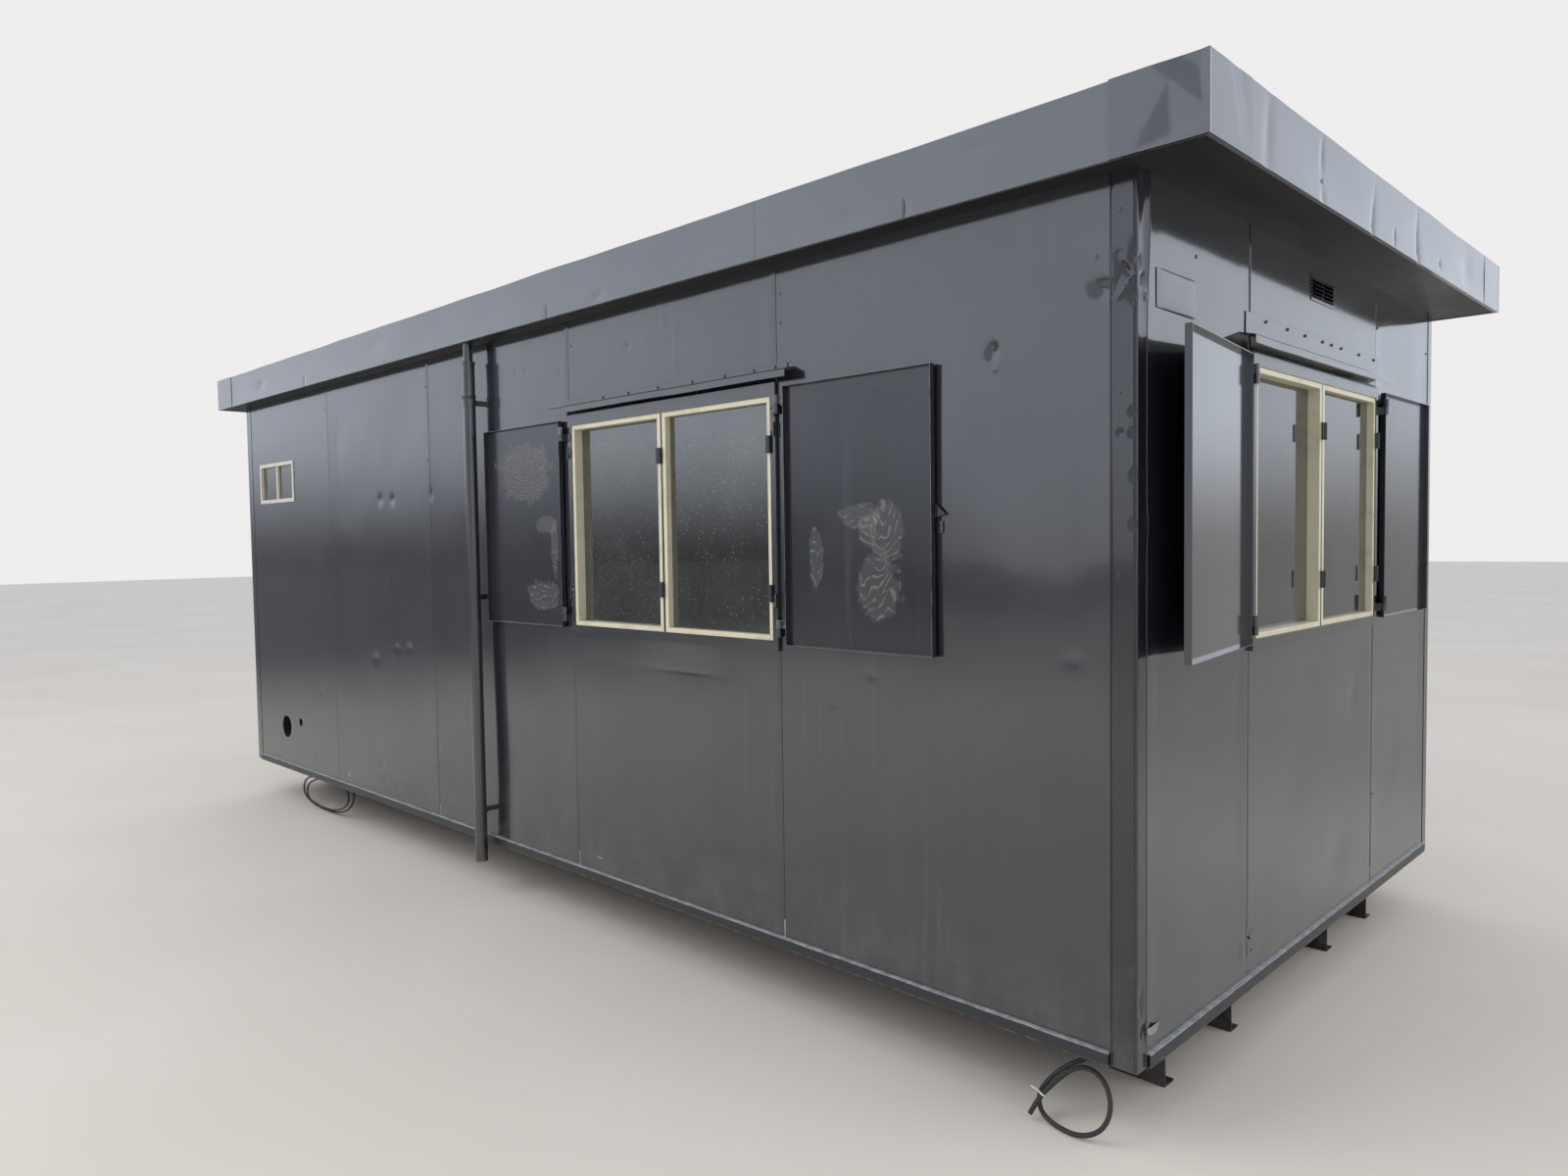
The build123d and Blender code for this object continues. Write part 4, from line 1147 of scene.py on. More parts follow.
@dataclass
class Dressing:
    """A piece that dresses the cabin; each kind shapes its own stock.

    Attributes:
        node: CAD node that it stands for, if there is one.
        title: Name of the piece, where it isn't made from its node's name.
        slot: Slot that its finish comes from.
        sharp: Angle in degrees above which an edge stays sharp.
    """

    node: str
    title: ClassVar[str] = ""
    slot: ClassVar[str] = "cabin_paint"
    sharp: ClassVar[float] = 34.0

    def build(self, finish: bpy.types.Material) -> bpy.types.Object:
        """Make the piece.

        Args:
            finish: Its finish.

        Returns:
            The piece.
        """
        stock = Stock()
        self.shape(stock)
        nodes = (self.node,) if self.node else ()
        return stock.piece(self.title or f"{self.node}_dressed", finish, self.slot, nodes, self.sharp)

    def shape(self, stock: Stock) -> None:
        """Add the piece's sheet and bar to its stock."""
        raise NotImplementedError


# Thickness of folded sheet, and the panels' edges, rolled seams, backing and lap over the base rail.
SHEET = 0.002
EDGE_WIDTH = 0.003
EDGE_DROP = 0.0036
ROLL_WIDTH = 0.0165
ROLL_DROP = 0.0026
SHEET_BACKING = 0.06
RAIL_LAP_HEAD = 0.33


@dataclass
class WallSheet(Dressing):
    """A wall panel whose outer sheet is dented and a little slack between its seams.

    Attributes:
        wall: Wall that it is in.
        dents: Dents that reach into it.
        slack: Depth of the sheet's slow waves.
        seed: Place in the noise that the waves come from.
        rolled: Whether its far edge rolls back to the seam.
        seams: Seams within it.
    """

    wall: Wall
    dents: tuple[Dent, ...] = ()
    slack: float = 0.0036
    seed: float = 0.0
    rolled: bool = True
    seams: tuple[float, ...] = ()

    def shape(self, stock: Stock) -> None:
        """Make the panel.

        Args:
            stock: Stock of the piece.
        """
        low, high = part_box(self.node)
        axis = 0 if self.wall in (Wall.FRONT, Wall.BACK) else 1
        start, stop, foot, head = low[axis], high[axis], low[2], high[2]
        out = LEVELS.y_side if axis == 0 else LEVELS.x_end
        near = tuple(dent for dent in self.dents if dent.touches(start, stop, foot, head))
        stations = grid_lines(start, stop, 0.055, [(dent.along, dent.width) for dent in near])
        inner = [place for seam in self.seams for place in (seam - EDGE_WIDTH, seam, seam + EDGE_WIDTH)]
        lines = [*self.seams, stop] if self.rolled else list(self.seams)
        rolls = [line - back for line in lines for back in (ROLL_WIDTH + 0.001, ROLL_WIDTH - 0.001)]
        stations = [start, start + EDGE_WIDTH, *stations[1:-1], *inner, *rolls, stop - EDGE_WIDTH, stop]
        stations = sorted(station for station in set(stations) if start <= station <= stop)
        rises = grid_lines(foot, head, 0.06, [(dent.rise, dent.height) for dent in near])
        rings = []
        for station in stations:
            bevel = EDGE_DROP if station in (start, stop, *self.seams) else 0.0
            for line in lines:
                if station <= line:
                    bevel += ROLL_DROP * max(0.0, 1.0 - (line - station) / ROLL_WIDTH)

            def face(rise: float) -> float:
                """Distance of the sheet from the cabin's middle.

                Args:
                    rise: Height over the ground.

                Returns:
                    The distance, in metres.
                """
                spread = min(1.0, 9.0 * min(station - start, stop - station) / (stop - start))
                spread *= min(1.0, 9.0 * min(rise - foot, head - rise) / (head - foot))
                wave = noise.noise(Vector((station * 2.3 + self.seed, rise * 1.5, self.seed * 3.7)))
                fine = noise.noise(Vector((station * 6.0 - self.seed, rise * 4.2, self.seed + 8.1)))
                slack = spread * self.slack * (0.6 + 1.1 * wave + 0.22 * fine)
                return out - bevel - slack - pushed(near, station, rise)

            ring = [(face(rise), rise) for rise in rises]
            inner = out - SHEET_BACKING
            if foot < RAIL_LAP_HEAD:
                back = face(foot + 0.001) - SHEET
                ring += [(inner, head), (inner, RAIL_LAP_HEAD), (min(back, out - SHEET), RAIL_LAP_HEAD), (back, foot)]
            else:
                ring += [(inner, head), (inner, foot)]
            rings.append([self.wall.place(station, outward, rise) for outward, rise in ring])
        stock.loft(rings)


# Where and how deep the front fascia's web is tucked in behind the near cap, and the fascias' returns.
TUCK_START = 0.232
TUCK_DEPTH = 0.010
TOP_RETURN = 0.06
FOOT_RETURN = 0.014


@dataclass
class Fascia(Dressing):
    """A folded fascia with dents, kinks and slits, mitred at both corners.

    Attributes:
        wall: Wall that it is over.
        dents: Its dents and folds.
        laps: Places where two lengths of fascia lap.
        tucked: Whether its web is pushed in under the crumpled cap.
        seed: Place in the noise that its waves come from.
    """

    wall: Wall
    dents: tuple[Dent, ...] = ()
    laps: tuple[float, ...] = ()
    tucked: bool = False
    seed: float = 0.0

    def shape(self, stock: Stock) -> None:
        """Make the fascia.

        Args:
            stock: Stock of the piece.
        """
        axis = 0 if self.wall in (Wall.FRONT, Wall.BACK) else 1
        half, out = (LEVELS.roof_x, LEVELS.roof_y) if axis == 0 else (LEVELS.roof_y, LEVELS.roof_x)
        foot, head = LEVELS.soffit - SHEET, LEVELS.roof_top
        marks = [(dent.along, dent.width) for dent in self.dents] + [(lap, 0.004) for lap in self.laps]
        hidden = half - TUCK_START
        if self.tucked:
            marks.append((hidden, TUCK_DEPTH))
        inside = half - 0.075
        stations = grid_lines(-inside, inside, 0.06, marks)
        rises = grid_lines(foot, head, 0.022, [(dent.rise, dent.height) for dent in self.dents])
        rings = []
        for station in [-half, *stations, half]:
            edge = abs(station) == half
            spread = 0.0 if edge else min(1.0, (half - abs(station) - 0.07) / 0.3)
            wave = noise.noise(Vector((station * 2.3, self.seed, 0.5)))
            drop = spread * 0.006 * (0.5 + 0.6 * noise.noise(Vector((station * 3.1, self.seed, 4.5))))
            lap = sum(0.0016 for place in self.laps if station > place)
            top = head - max(0.0, drop)
            tuck = min(TUCK_DEPTH, max(0.0, station - hidden)) if self.tucked else 0.0

            def face(rise: float) -> float:
                """Distance of the web from the cabin's middle.

                Args:
                    rise: Height over the ground.

                Returns:
                    The distance, in metres.
                """
                share = (rise - foot) / (head - foot)
                belly = spread * 0.004 * (0.5 + 0.6 * wave) * math.sin(math.pi * share)
                inward = tuck if tuck else pushed(self.dents, station, rise)
                return out - (0.0 if edge else lap) - belly - inward

            web = [(face(rise), min(rise, top)) for rise in rises]
            over, under = out - TOP_RETURN, out - FOOT_RETURN
            ring = [*web, (over, head), (over, head - SHEET)]
            ring += [(outward - SHEET, min(rise, top - SHEET)) for outward, rise in reversed(web[1:])]
            ring[len(web) - 1] = (web[-1][0], top)
            ring += [(web[0][0] - SHEET, foot + SHEET), (under, foot + SHEET), (under, foot)]
            points = []
            for outward, rise in ring:
                along = math.copysign(half - (out - outward), station) if edge else station
                points.append(self.wall.place(along, outward, rise))
            rings.append(points)
        stock.loft(rings)


@dataclass
class CornerCaps(Dressing):
    """Folded caps over the fascia's corners; the one over the near corner is crumpled.

    Attributes:
        leg: Length of each leg.
        stand: Thickness of the cap's sheet.
    """

    node: str = "fascia_corner_caps"
    sharp: ClassVar[float] = 12.0
    leg: float = 0.256
    stand: float = 0.002

    @staticmethod
    def fold(distance: float, height: float) -> float:
        """Depth of the folds in the near cap's front leg.

        Args:
            distance: Distance from the corner.
            height: Height over the cap's foot.

        Returns:
            The depth, in metres.
        """
        reach, steepness, flat_share = 0.205, 0.064, 0.15
        upper_fold = 0.073 + 0.984 * (distance - 0.02)
        strip = max(0.0, 0.042 * (1.0 - distance / reach))
        level = max(height, strip)
        below = 0.71 * (upper_fold - level)
        inward = 0.82 * (reach - 0.708 * level - distance)
        dish = steepness * max(0.0, min(0.9 * below, inward))
        if height < strip:
            dish *= flat_share + (1.0 - flat_share) * height / strip
        if below < 0:
            dish += min(0.075 * -below, 0.004)
        return dish

    @staticmethod
    def side_fold(distance: float, height: float) -> float:
        """Depth of the soft crease in the near cap's end leg.

        Args:
            distance: Distance from the corner.
            height: Height over the cap's foot.

        Returns:
            The depth, in metres.
        """
        slope = distance - 0.20 + 0.45 * (height - 0.1)
        return 0.0016 * math.exp(-((slope / 0.03) ** 2)) * min(1.0, height / 0.05)

    def shape(self, stock: Stock) -> None:
        """Make the four caps.

        Args:
            stock: Stock of the piece.
        """
        foot, head, easing, deepest = LEVELS.soffit - SHEET, LEVELS.roof_top, 0.012, -0.0072
        rises = spaced(foot, head, 26)
        shares = [0.0, *(math.sqrt(index / 26) * 0.985 + 0.0075 for index in range(1, 26)), 1.0]
        distances = [self.leg * (1.0 - share) for share in sorted(shares)]
        for side_x, side_y in ((1, -1), (-1, -1), (1, 1), (-1, 1)):
            crumpled = (side_x, side_y) == (1, -1)
            rings = []
            for distance in distances[:-1]:
                ring = []
                for rise in rises:
                    depth = self.fold(distance, rise - foot) * min(1.0, distance / 0.02) if crumpled else 0.0
                    depth *= min(1.0, (self.leg - distance) / easing)
                    ring.append((distance, max(deepest, self.stand - depth), rise, 0))
                rings.append(ring)
            rings.append([(0.0, self.stand, rise, 2) for rise in rises])
            proud = self.stand * (0.3 if side_x == 1 else 1.0)
            for distance in reversed(distances[:-1]):
                ring = []
                for rise in rises:
                    depth = self.side_fold(distance, rise - foot) if crumpled else 0.0
                    ring.append((distance, proud - depth * min(1.0, (self.leg - distance) / easing), rise, 1))
                rings.append(ring)
            solid = []
            for ring in rings:
                outer = [self.spot(side_x, side_y, *entry) for entry in ring]
                inner = [self.spot(side_x, side_y, entry[0], entry[1] - self.stand, *entry[2:]) for entry in ring]
                solid.append(outer + inner[::-1])
            stock.loft(solid)

    @staticmethod
    def spot(side_x: int, side_y: int, distance: float, outward: float, rise: float, leg: int) -> Point:
        """Turn a place on a cap into a point.

        Args:
            side_x: Side of the corner along X.
            side_y: Side of the corner along Y.
            distance: Distance from the corner.
            outward: Distance in front of the fascia.
            rise: Height over the ground.
            leg: 0 for the long wall's leg, 1 for the end wall's leg, 2 for the corner itself.

        Returns:
            The point.
        """
        x, y = LEVELS.roof_x, LEVELS.roof_y
        if leg == 2:
            return (side_x * (x + outward), side_y * (y + outward), rise)
        if leg == 0:
            return (side_x * (x - distance), side_y * (y + outward), rise)
        return (side_x * (x + outward), side_y * (y - distance), rise)


@dataclass
class SoffitBoard(Dressing):
    """The board inside the fascias, whose edge stays clear of the dents in them."""

    node: str = "roof_deck"
    slot: ClassVar[str] = "soffit_board"

    def shape(self, stock: Stock) -> None:
        """Make the board."""
        stock.block((-LEVELS.board_x, -LEVELS.board_y, LEVELS.soffit), (LEVELS.board_x, LEVELS.board_y, 2.690), 0.0015)


@dataclass
class RoofCovering(Dressing):
    """The roof sheet in lapped strips, with a little slack, and the outlet over the downpipe.

    Attributes:
        strip: Width of each strip.
        lap: How far a strip reaches over the next one.
    """

    node: str = "roof_sheet"
    title: ClassVar[str] = "roof_covering"
    slot: ClassVar[str] = "roof_sheet"
    strip: float = 1.14
    lap: float = 0.05

    def shape(self, stock: Stock) -> None:
        """Make the strips and the outlet.

        Args:
            stock: Stock of the piece.
        """
        x, y, under, over = LEVELS.board_x, LEVELS.board_y, 2.690, 2.6915
        edges = spaced(-x, x, round(2 * x / self.strip))
        for low, high in zip(edges, edges[1:]):
            rings = []
            for step, station in enumerate(spaced(low, high + self.lap, 10)):
                station = min(station, x)
                lift = 0.0009 if step >= 9 and high != edges[-1] else 0.0
                upper = []
                for across in spaced(-y, y, 12):
                    slack = 0.0012 * noise.noise(Vector((station * 2.2, across * 2.6, 5.0)))
                    upper.append((station, across, over + lift + max(0.0, slack)))
                rings.append([*upper, (station, y, under), (station, -y, under)])
            stock.loft(rings)
        outlet = [(0.048, 0.0), (0.048, 0.003), (0.040, 0.005), (0.033, 0.024), (0.012, 0.030)]
        stock.turned((-0.105, -1.425, 2.691), (0, 0, 1), outlet)


@dataclass
class CornerPost(Dressing):
    """The near corner post, crushed under the roof and dented along its edge.

    Attributes:
        front_dents: Dents in its front face.
        end_dents: Dents in its end face.
    """

    node: str = "corner_post_front_right"
    title: ClassVar[str] = "corner_post_dressed"
    sharp: ClassVar[float] = 26.0
    front_dents: tuple[Dent, ...] = ()
    end_dents: tuple[Dent, ...] = ()

    def shape(self, stock: Stock) -> None:
        """Make the post.

        Args:
            stock: Stock of the piece.
        """
        lap_x, lap_y, back_x, back_y = 3.1125, 1.345, 3.125, -1.35
        x, y, radius = LEVELS.x_end + SHEET, LEVELS.y_side + SHEET, 0.006
        marks = [(dent.rise, dent.height) for dent in (*self.front_dents, *self.end_dents)]
        rings = []
        for rise in grid_lines(LEVELS.base, LEVELS.soffit, 0.05, marks):
            ring: list[Point] = [
                (lap_x, -(y + 0.0016), rise),
                (lap_x + 0.0034, -(y + 0.0016), rise),
                (lap_x + 0.0046, -(y - 0.0008), rise),
            ]
            for along in spaced(lap_x + 0.008, x - radius - 0.0055, 12):
                ring.append((along, -(y - pushed(self.front_dents, along, rise)), rise))
            corner_front = pushed(self.front_dents, x - radius, rise)
            corner_end = pushed(self.end_dents, -(y - radius), rise)
            ring.append((x - radius - 0.0025, -(y - 0.0022 - corner_front), rise))
            for step in (0, 1, 2, 3, 4):
                turn = math.pi / 8 * step
                across = x - radius + radius * math.sin(turn) - corner_end * step / 4
                down = y - radius + radius * math.cos(turn) - corner_front * (1 - step / 4)
                ring.append((across, -down, rise))
            for along in spaced(-(y - radius), -lap_y, 12)[1:-1]:
                ring.append((x - pushed(self.end_dents, along, rise), along, rise))
            rim = min(0.0, pushed(self.end_dents, -lap_y, rise))
            ring += [(x + 0.0014 - rim, -lap_y - 0.003, rise), (x + 0.0014 - rim, -lap_y, rise)]
            ring += [
                (LEVELS.x_end, -lap_y, rise),
                (LEVELS.x_end, back_y, rise),
                (back_x, back_y, rise),
                (back_x, -LEVELS.y_side, rise),
                (lap_x, -LEVELS.y_side, rise),
            ]
            rings.append(ring)
        stock.loft(rings)


@dataclass
class DripHood(Dressing):
    """A folded drip hood over a shuttered window, screwed to the wall by its back plate.

    Attributes:
        wall: Wall that it is on.
        centre: Its middle along the wall.
        plate: Span of its back plate from the middle to each end.
        plate_head: Top of its back plate.
        lip: Underside of its lip.
        reach: How far it stands out.
        half: Half its length.
    """

    sharp: ClassVar[float] = 20.0
    wall: Wall
    centre: float
    plate: tuple[float, float]
    plate_head: float
    lip: float
    reach: float = 0.05
    half: float = 0.71

    def shape(self, stock: Stock) -> None:
        """Make the hood.

        Args:
            stock: Stock of the piece.
        """
        wall = LEVELS.y_side if self.wall is Wall.FRONT else LEVELS.x_end
        top = self.lip + 0.027
        rings = []
        for along in spaced(self.centre - self.half, self.centre + self.half, 40):
            sag = 0.0016 * noise.noise(Vector((along * 4.0, self.lip, 0.3)))
            out = wall + self.reach - 0.0015 + 1.4 * sag
            section = (
                (wall + 0.0003, top + 0.012),
                (wall + 0.002, top + 0.0105),
                (out - 0.0025, top - 0.0012 + sag),
                (out, top - 0.004 + sag),
                (out, self.lip + sag),
                (out - 0.0015, self.lip + sag),
                (out - 0.0015, top - 0.0045 + sag),
                (wall + 0.0003, top + 0.0085),
            )
            rings.append([self.wall.place(along, outward, rise) for outward, rise in section])
        stock.loft(rings)
        rings = []
        for along in spaced(self.centre - self.plate[0], self.centre + self.plate[1], 30):
            lift = 0.0012 * max(0.0, noise.noise(Vector((along * 9.0, 2.0, self.lip))))
            section = (
                (wall + 0.0002, top + 0.009),
                (wall + 0.0022, top + 0.011),
                (wall + 0.0019 + lift, self.plate_head - 0.0007),
                (wall + 0.0012 + lift, self.plate_head),
                (wall + 0.0002 + lift, self.plate_head),
            )
            rings.append([self.wall.place(along, outward, rise) for outward, rise in section])
        stock.loft(rings)


class Head(Enum):
    """Heads of the fixings: sides, then radius and height of the washer, then of the head itself."""

    HEX_SCREW = (6, 0.0075, 0.0014, 0.0052, 0.0045)
    PAN_SCREW = (12, 0.0062, 0.0008, 0.0048, 0.0024)
    RIVET = (12, 0.0045, 0.0006, 0.0034, 0.0019)


class FixingTree:
    """Geometry node tree that sets one head on each point, facing the way that the point says."""

    def __init__(self) -> None:
        """Build the tree."""
        sizes = {"Washer_radius": 0.0075, "Washer_height": 0.0014, "Head_radius": 0.005, "Head_height": 0.0045}
        finish = "NodeSocketMaterial"
        group = Group("fixings", "GeometryNodeTree", Points=GEOMETRY, Sides=6, **sizes, Finish=finish)
        given = group.given
        both = group.add("GeometryNodeJoinGeometry")
        for label, sides, foot in (("Washer", 12, 0.0), ("Head", given["Sides"], given["Washer height"])):
            radius, height = given[f"{label} radius"], given[f"{label} height"]
            taper = {"Vertices": sides, "Radius Top": group.times(radius, 0.8), "Radius Bottom": radius}
            cone = group.first("GeometryNodeMeshCone", {**taper, "Depth": height})
            lift = group.first("ShaderNodeCombineXYZ", {"Z": foot})
            group.feed(both.inputs[0], group.first("GeometryNodeTransform", {"Geometry": cone, "Translation": lift}))
        facing = group.first("GeometryNodeInputNamedAttribute", {"Name": "facing"}, data_type="FLOAT_VECTOR")
        turned = group.first("FunctionNodeAlignRotationToVector", {"Vector": facing}, axis="Z")
        spin = group.add("FunctionNodeRandomValue", {3: 6.283, "Seed": 7}, data_type="FLOAT").outputs[1]
        about = group.first("ShaderNodeCombineXYZ", {"Z": spin})
        turns = {"Rotation": turned, "Rotate By": about}
        rotated = group.first("FunctionNodeRotateRotation", turns, rotation_space="LOCAL")
        cloud = group.first("GeometryNodeMeshToPoints", {"Mesh": given["Points"]})
        set_out = {"Points": cloud, "Instance": both.outputs[0], "Rotation": rotated}
        real = group.first("GeometryNodeRealizeInstances", {0: group.first("GeometryNodeInstanceOnPoints", set_out)})
        dressed = group.first("GeometryNodeSetMaterial", {"Geometry": real, "Material": given["Finish"]})
        self.tree = group.give(GEOMETRY, Geometry=dressed)

    def identifier(self, label: str) -> str:
        """Find the identifier of a named input."""
        return next(item.identifier for item in self.tree.interface.items_tree if item.name == label)


@dataclass
class Fixings:
    """Screws or rivets of one kind on one body.

    Attributes:
        name: Name of the piece.
        head: Kind of head.
        places: Place and facing of each.
        body: Body that they ride on.
        slot: Slot that their finish comes from; not used.
    """

    name: str
    head: Head
    places: list[tuple[Point, Point]]
    body: str = CABIN
    slot: str = "cabin_paint"

    def build(self, tree: FixingTree, finish: bpy.types.Material) -> bpy.types.Object:
        """Set the heads on their places.

        Args:
            tree: Geometry node tree that makes them.
            finish: Their finish.

        Returns:
            The piece.
        """
        data = bpy.data.meshes.new(f"{self.name}_places")
        data.from_pydata([place for place, _ in self.places], [], [])
        facing = data.attributes.new("facing", "FLOAT_VECTOR", "POINT")
        for index, (_, direction) in enumerate(self.places):
            facing.data[index].vector = direction
        marks = link(f"{self.name}_places", data)
        modifier = marks.modifiers.new("fixings", "NODES")
        modifier.node_group = tree.tree
        labels = ("Sides", "Washer radius", "Washer height", "Head radius", "Head height", "Finish")
        for label, value in zip(labels, (*self.head.value, finish)):
            modifier[tree.identifier(label)] = value
        graph = bpy.context.evaluated_depsgraph_get()
        made = bpy.data.meshes.new_from_object(marks.evaluated_get(graph))
        made.name = self.name
        bpy.data.objects.remove(marks)
        return declare(link(self.name, made), (), self.body)


FRONT_DENTS: tuple[Dent, ...] = (
    Dent(2.747, 2.195, 0.020, 0.024, 0.0080),
    Dent(2.760, 2.150, 0.014, 0.012, -0.0020),
    Dent(3.100, 2.312, 0.030, 0.020, 0.0080, 0.2),
    Dent(3.074, 2.330, 0.030, 0.024, 0.0040),
    Dent(3.003, 1.324, 0.030, 0.024, 0.0014),
    Dent(2.280, 1.225, 0.022, 0.016, 0.0009),
    Dent(2.117, 1.120, 0.034, 0.022, 0.0012),
    Dent(2.550, 0.429, 0.040, 0.030, 0.0030),
    Dent(2.350, 0.620, 0.160, 0.090, 0.0024),
    Dent(2.850, 0.900, 0.120, 0.160, 0.0024),
    Dent(1.038, 2.445, 0.018, 0.014, 0.0020),
    Dent(1.350, 1.168, 0.150, 0.010, 0.0005),
    Dent(1.120, 0.720, 0.180, 0.120, 0.0024),
    Dent(1.560, 0.480, 0.090, 0.050, 0.0024),
    Dent(0.760, 0.360, 0.030, 0.022, 0.0025),
    Dent(0.558, 2.401, 0.014, 0.014, 0.0015),
    Dent(0.205, 2.439, 0.013, 0.011, 0.0015),
    Dent(0.287, 2.438, 0.013, 0.011, 0.0015),
    Dent(-0.229, 1.907, 0.018, 0.026, 0.0090),
    Dent(-0.225, 1.868, 0.014, 0.012, -0.0040),
    Dent(-0.624, 1.923, 0.016, 0.030, 0.0020),
    Dent(0.120, 0.640, 0.140, 0.180, 0.0024),
    Dent(-0.626, 0.622, 0.014, 0.040, 0.0020),
    Dent(-1.207, 1.919, 0.030, 0.030, 0.0020),
    Dent(-1.065, 1.914, 0.028, 0.026, 0.0020),
    Dent(-1.326, 1.036, 0.040, 0.030, 0.0025),
    Dent(-0.919, 1.118, 0.030, 0.022, 0.0025),
    Dent(-1.062, 1.109, 0.030, 0.020, 0.0020),
    Dent(-1.288, 0.443, 0.040, 0.022, 0.0030),
    Dent(-1.252, 0.354, 0.024, 0.014, 0.0020),
    Dent(-1.095, 0.345, 0.030, 0.014, 0.0025),
    Dent(-1.740, 0.320, 0.030, 0.018, 0.0020),
    Dent(-2.096, 0.779, 0.030, 0.030, 0.0020),
    Dent(-2.181, 0.374, 0.030, 0.016, 0.0015),
    Dent(-2.080, 0.442, 0.030, 0.018, 0.0015),
    Dent(-2.013, 0.378, 0.030, 0.014, 0.0015),
    Dent(-2.667, 0.332, 0.024, 0.012, 0.0015),
    Dent(-2.313, 0.363, 0.020, 0.014, 0.0015),
)
END_DENTS: tuple[Dent, ...] = (
    Dent(-1.300, 0.330, 0.030, 0.022, 0.006),
    Dent(-1.240, 0.500, 0.060, 0.080, 0.004),
    Dent(-0.950, 1.150, 0.160, 0.260, 0.003),
    Dent(-0.690, 0.360, 0.022, 0.022, -0.003),
    Dent(-0.640, 0.400, 0.024, 0.018, 0.005),
    Dent(-0.300, 0.820, 0.200, 0.180, 0.004),
    Dent(0.220, 0.480, 0.120, 0.080, 0.005),
    Dent(0.380, 1.050, 0.050, 0.060, 0.003),
    Dent(0.900, 0.760, 0.120, 0.140, 0.004),
    Dent(1.100, 1.700, 0.080, 0.160, 0.003),
)
BACK_DENTS: tuple[Dent, ...] = (
    Dent(-2.500, 0.600, 0.100, 0.120, 0.004),
    Dent(-2.200, 1.700, 0.030, 0.030, 0.005),
    Dent(0.300, 0.500, 0.120, 0.080, 0.005),
    Dent(1.400, 1.300, 0.200, 0.240, 0.004),
    Dent(2.600, 0.420, 0.060, 0.040, 0.006),
)
FASCIA_FRONT: tuple[Dent, ...] = (
    Dent(-2.640, 2.690, 0.060, 0.030, 0.004),
    Dent(-1.000, 2.720, 0.120, 0.040, 0.003),
    Dent(0.980, 2.640, 0.040, 0.020, 0.004),
    Dent(-1.945, 2.634, 0.0035, 0.026, 0.007, 0.0, True),
    Dent(0.617, 2.634, 0.0035, 0.026, 0.007, 0.0, True),
    Dent(2.511, 2.634, 0.0035, 0.026, 0.007, 0.0, True),
    Dent(1.500, 2.700, 0.200, 0.060, 0.003),
    Dent(2.300, 2.660, 0.080, 0.040, 0.004),
    Dent(2.760, 2.745, 0.050, 0.025, 0.004),
)
FASCIA_RIGHT: tuple[Dent, ...] = (
    Dent(-1.134, 2.700, 0.030, 0.110, 0.0035, 0.1),
    Dent(-0.725, 2.668, 0.007, 0.006, 0.006),
    Dent(-0.725, 2.740, 0.016, 0.050, 0.003),
    Dent(-0.720, 2.625, 0.020, 0.024, 0.003),
    Dent(-0.252, 2.640, 0.022, 0.090, 0.007, 0.12, True),
    Dent(0.265, 2.650, 0.024, 0.100, 0.008, -0.14, True),
    Dent(0.551, 2.652, 0.016, 0.016, 0.005),
    Dent(-0.018, 2.643, 0.0035, 0.024, 0.007, 0.0, True),
    Dent(0.960, 2.700, 0.080, 0.060, 0.004),
)
POST_FRONT: tuple[Dent, ...] = (
    Dent(3.132, 2.322, 0.020, 0.030, 0.0050, 0.5, True),
    Dent(3.150, 2.300, 0.014, 0.020, -0.0040, 0.9, True),
    Dent(3.160, 2.352, 0.020, 0.030, 0.0070, -0.7, True),
    Dent(3.170, 2.322, 0.010, 0.024, -0.0050, 0.7, True),
    Dent(3.178, 2.392, 0.010, 0.030, 0.0070, 0.1, True),
    Dent(3.178, 2.286, 0.014, 0.022, 0.0060, -0.3, True),
    Dent(3.140, 2.400, 0.020, 0.012, 0.003, 0.0, True),
    Dent(3.142, 1.934, 0.008, 0.009, 0.0025),
    Dent(3.178, 1.987, 0.009, 0.010, 0.005),
    Dent(3.176, 1.932, 0.008, 0.010, 0.004),
    Dent(3.180, 1.820, 0.008, 0.014, 0.004),
    Dent(3.178, 1.690, 0.008, 0.012, 0.003),
    Dent(3.172, 0.520, 0.012, 0.022, 0.006),
)
POST_END: tuple[Dent, ...] = (
    Dent(-1.343, 2.500, 0.016, 0.190, -0.009),
    Dent(-1.372, 2.330, 0.012, 0.016, 0.009, 0.3, True),
    Dent(-1.386, 2.372, 0.010, 0.018, 0.008, 0.0, True),
    Dent(-1.362, 2.290, 0.012, 0.012, -0.005, 0.0, True),
    Dent(-1.352, 1.690, 0.014, 0.040, -0.004),
    Dent(-1.360, 0.330, 0.016, 0.022, 0.008),
    Dent(-1.380, 0.420, 0.012, 0.030, 0.006),
)


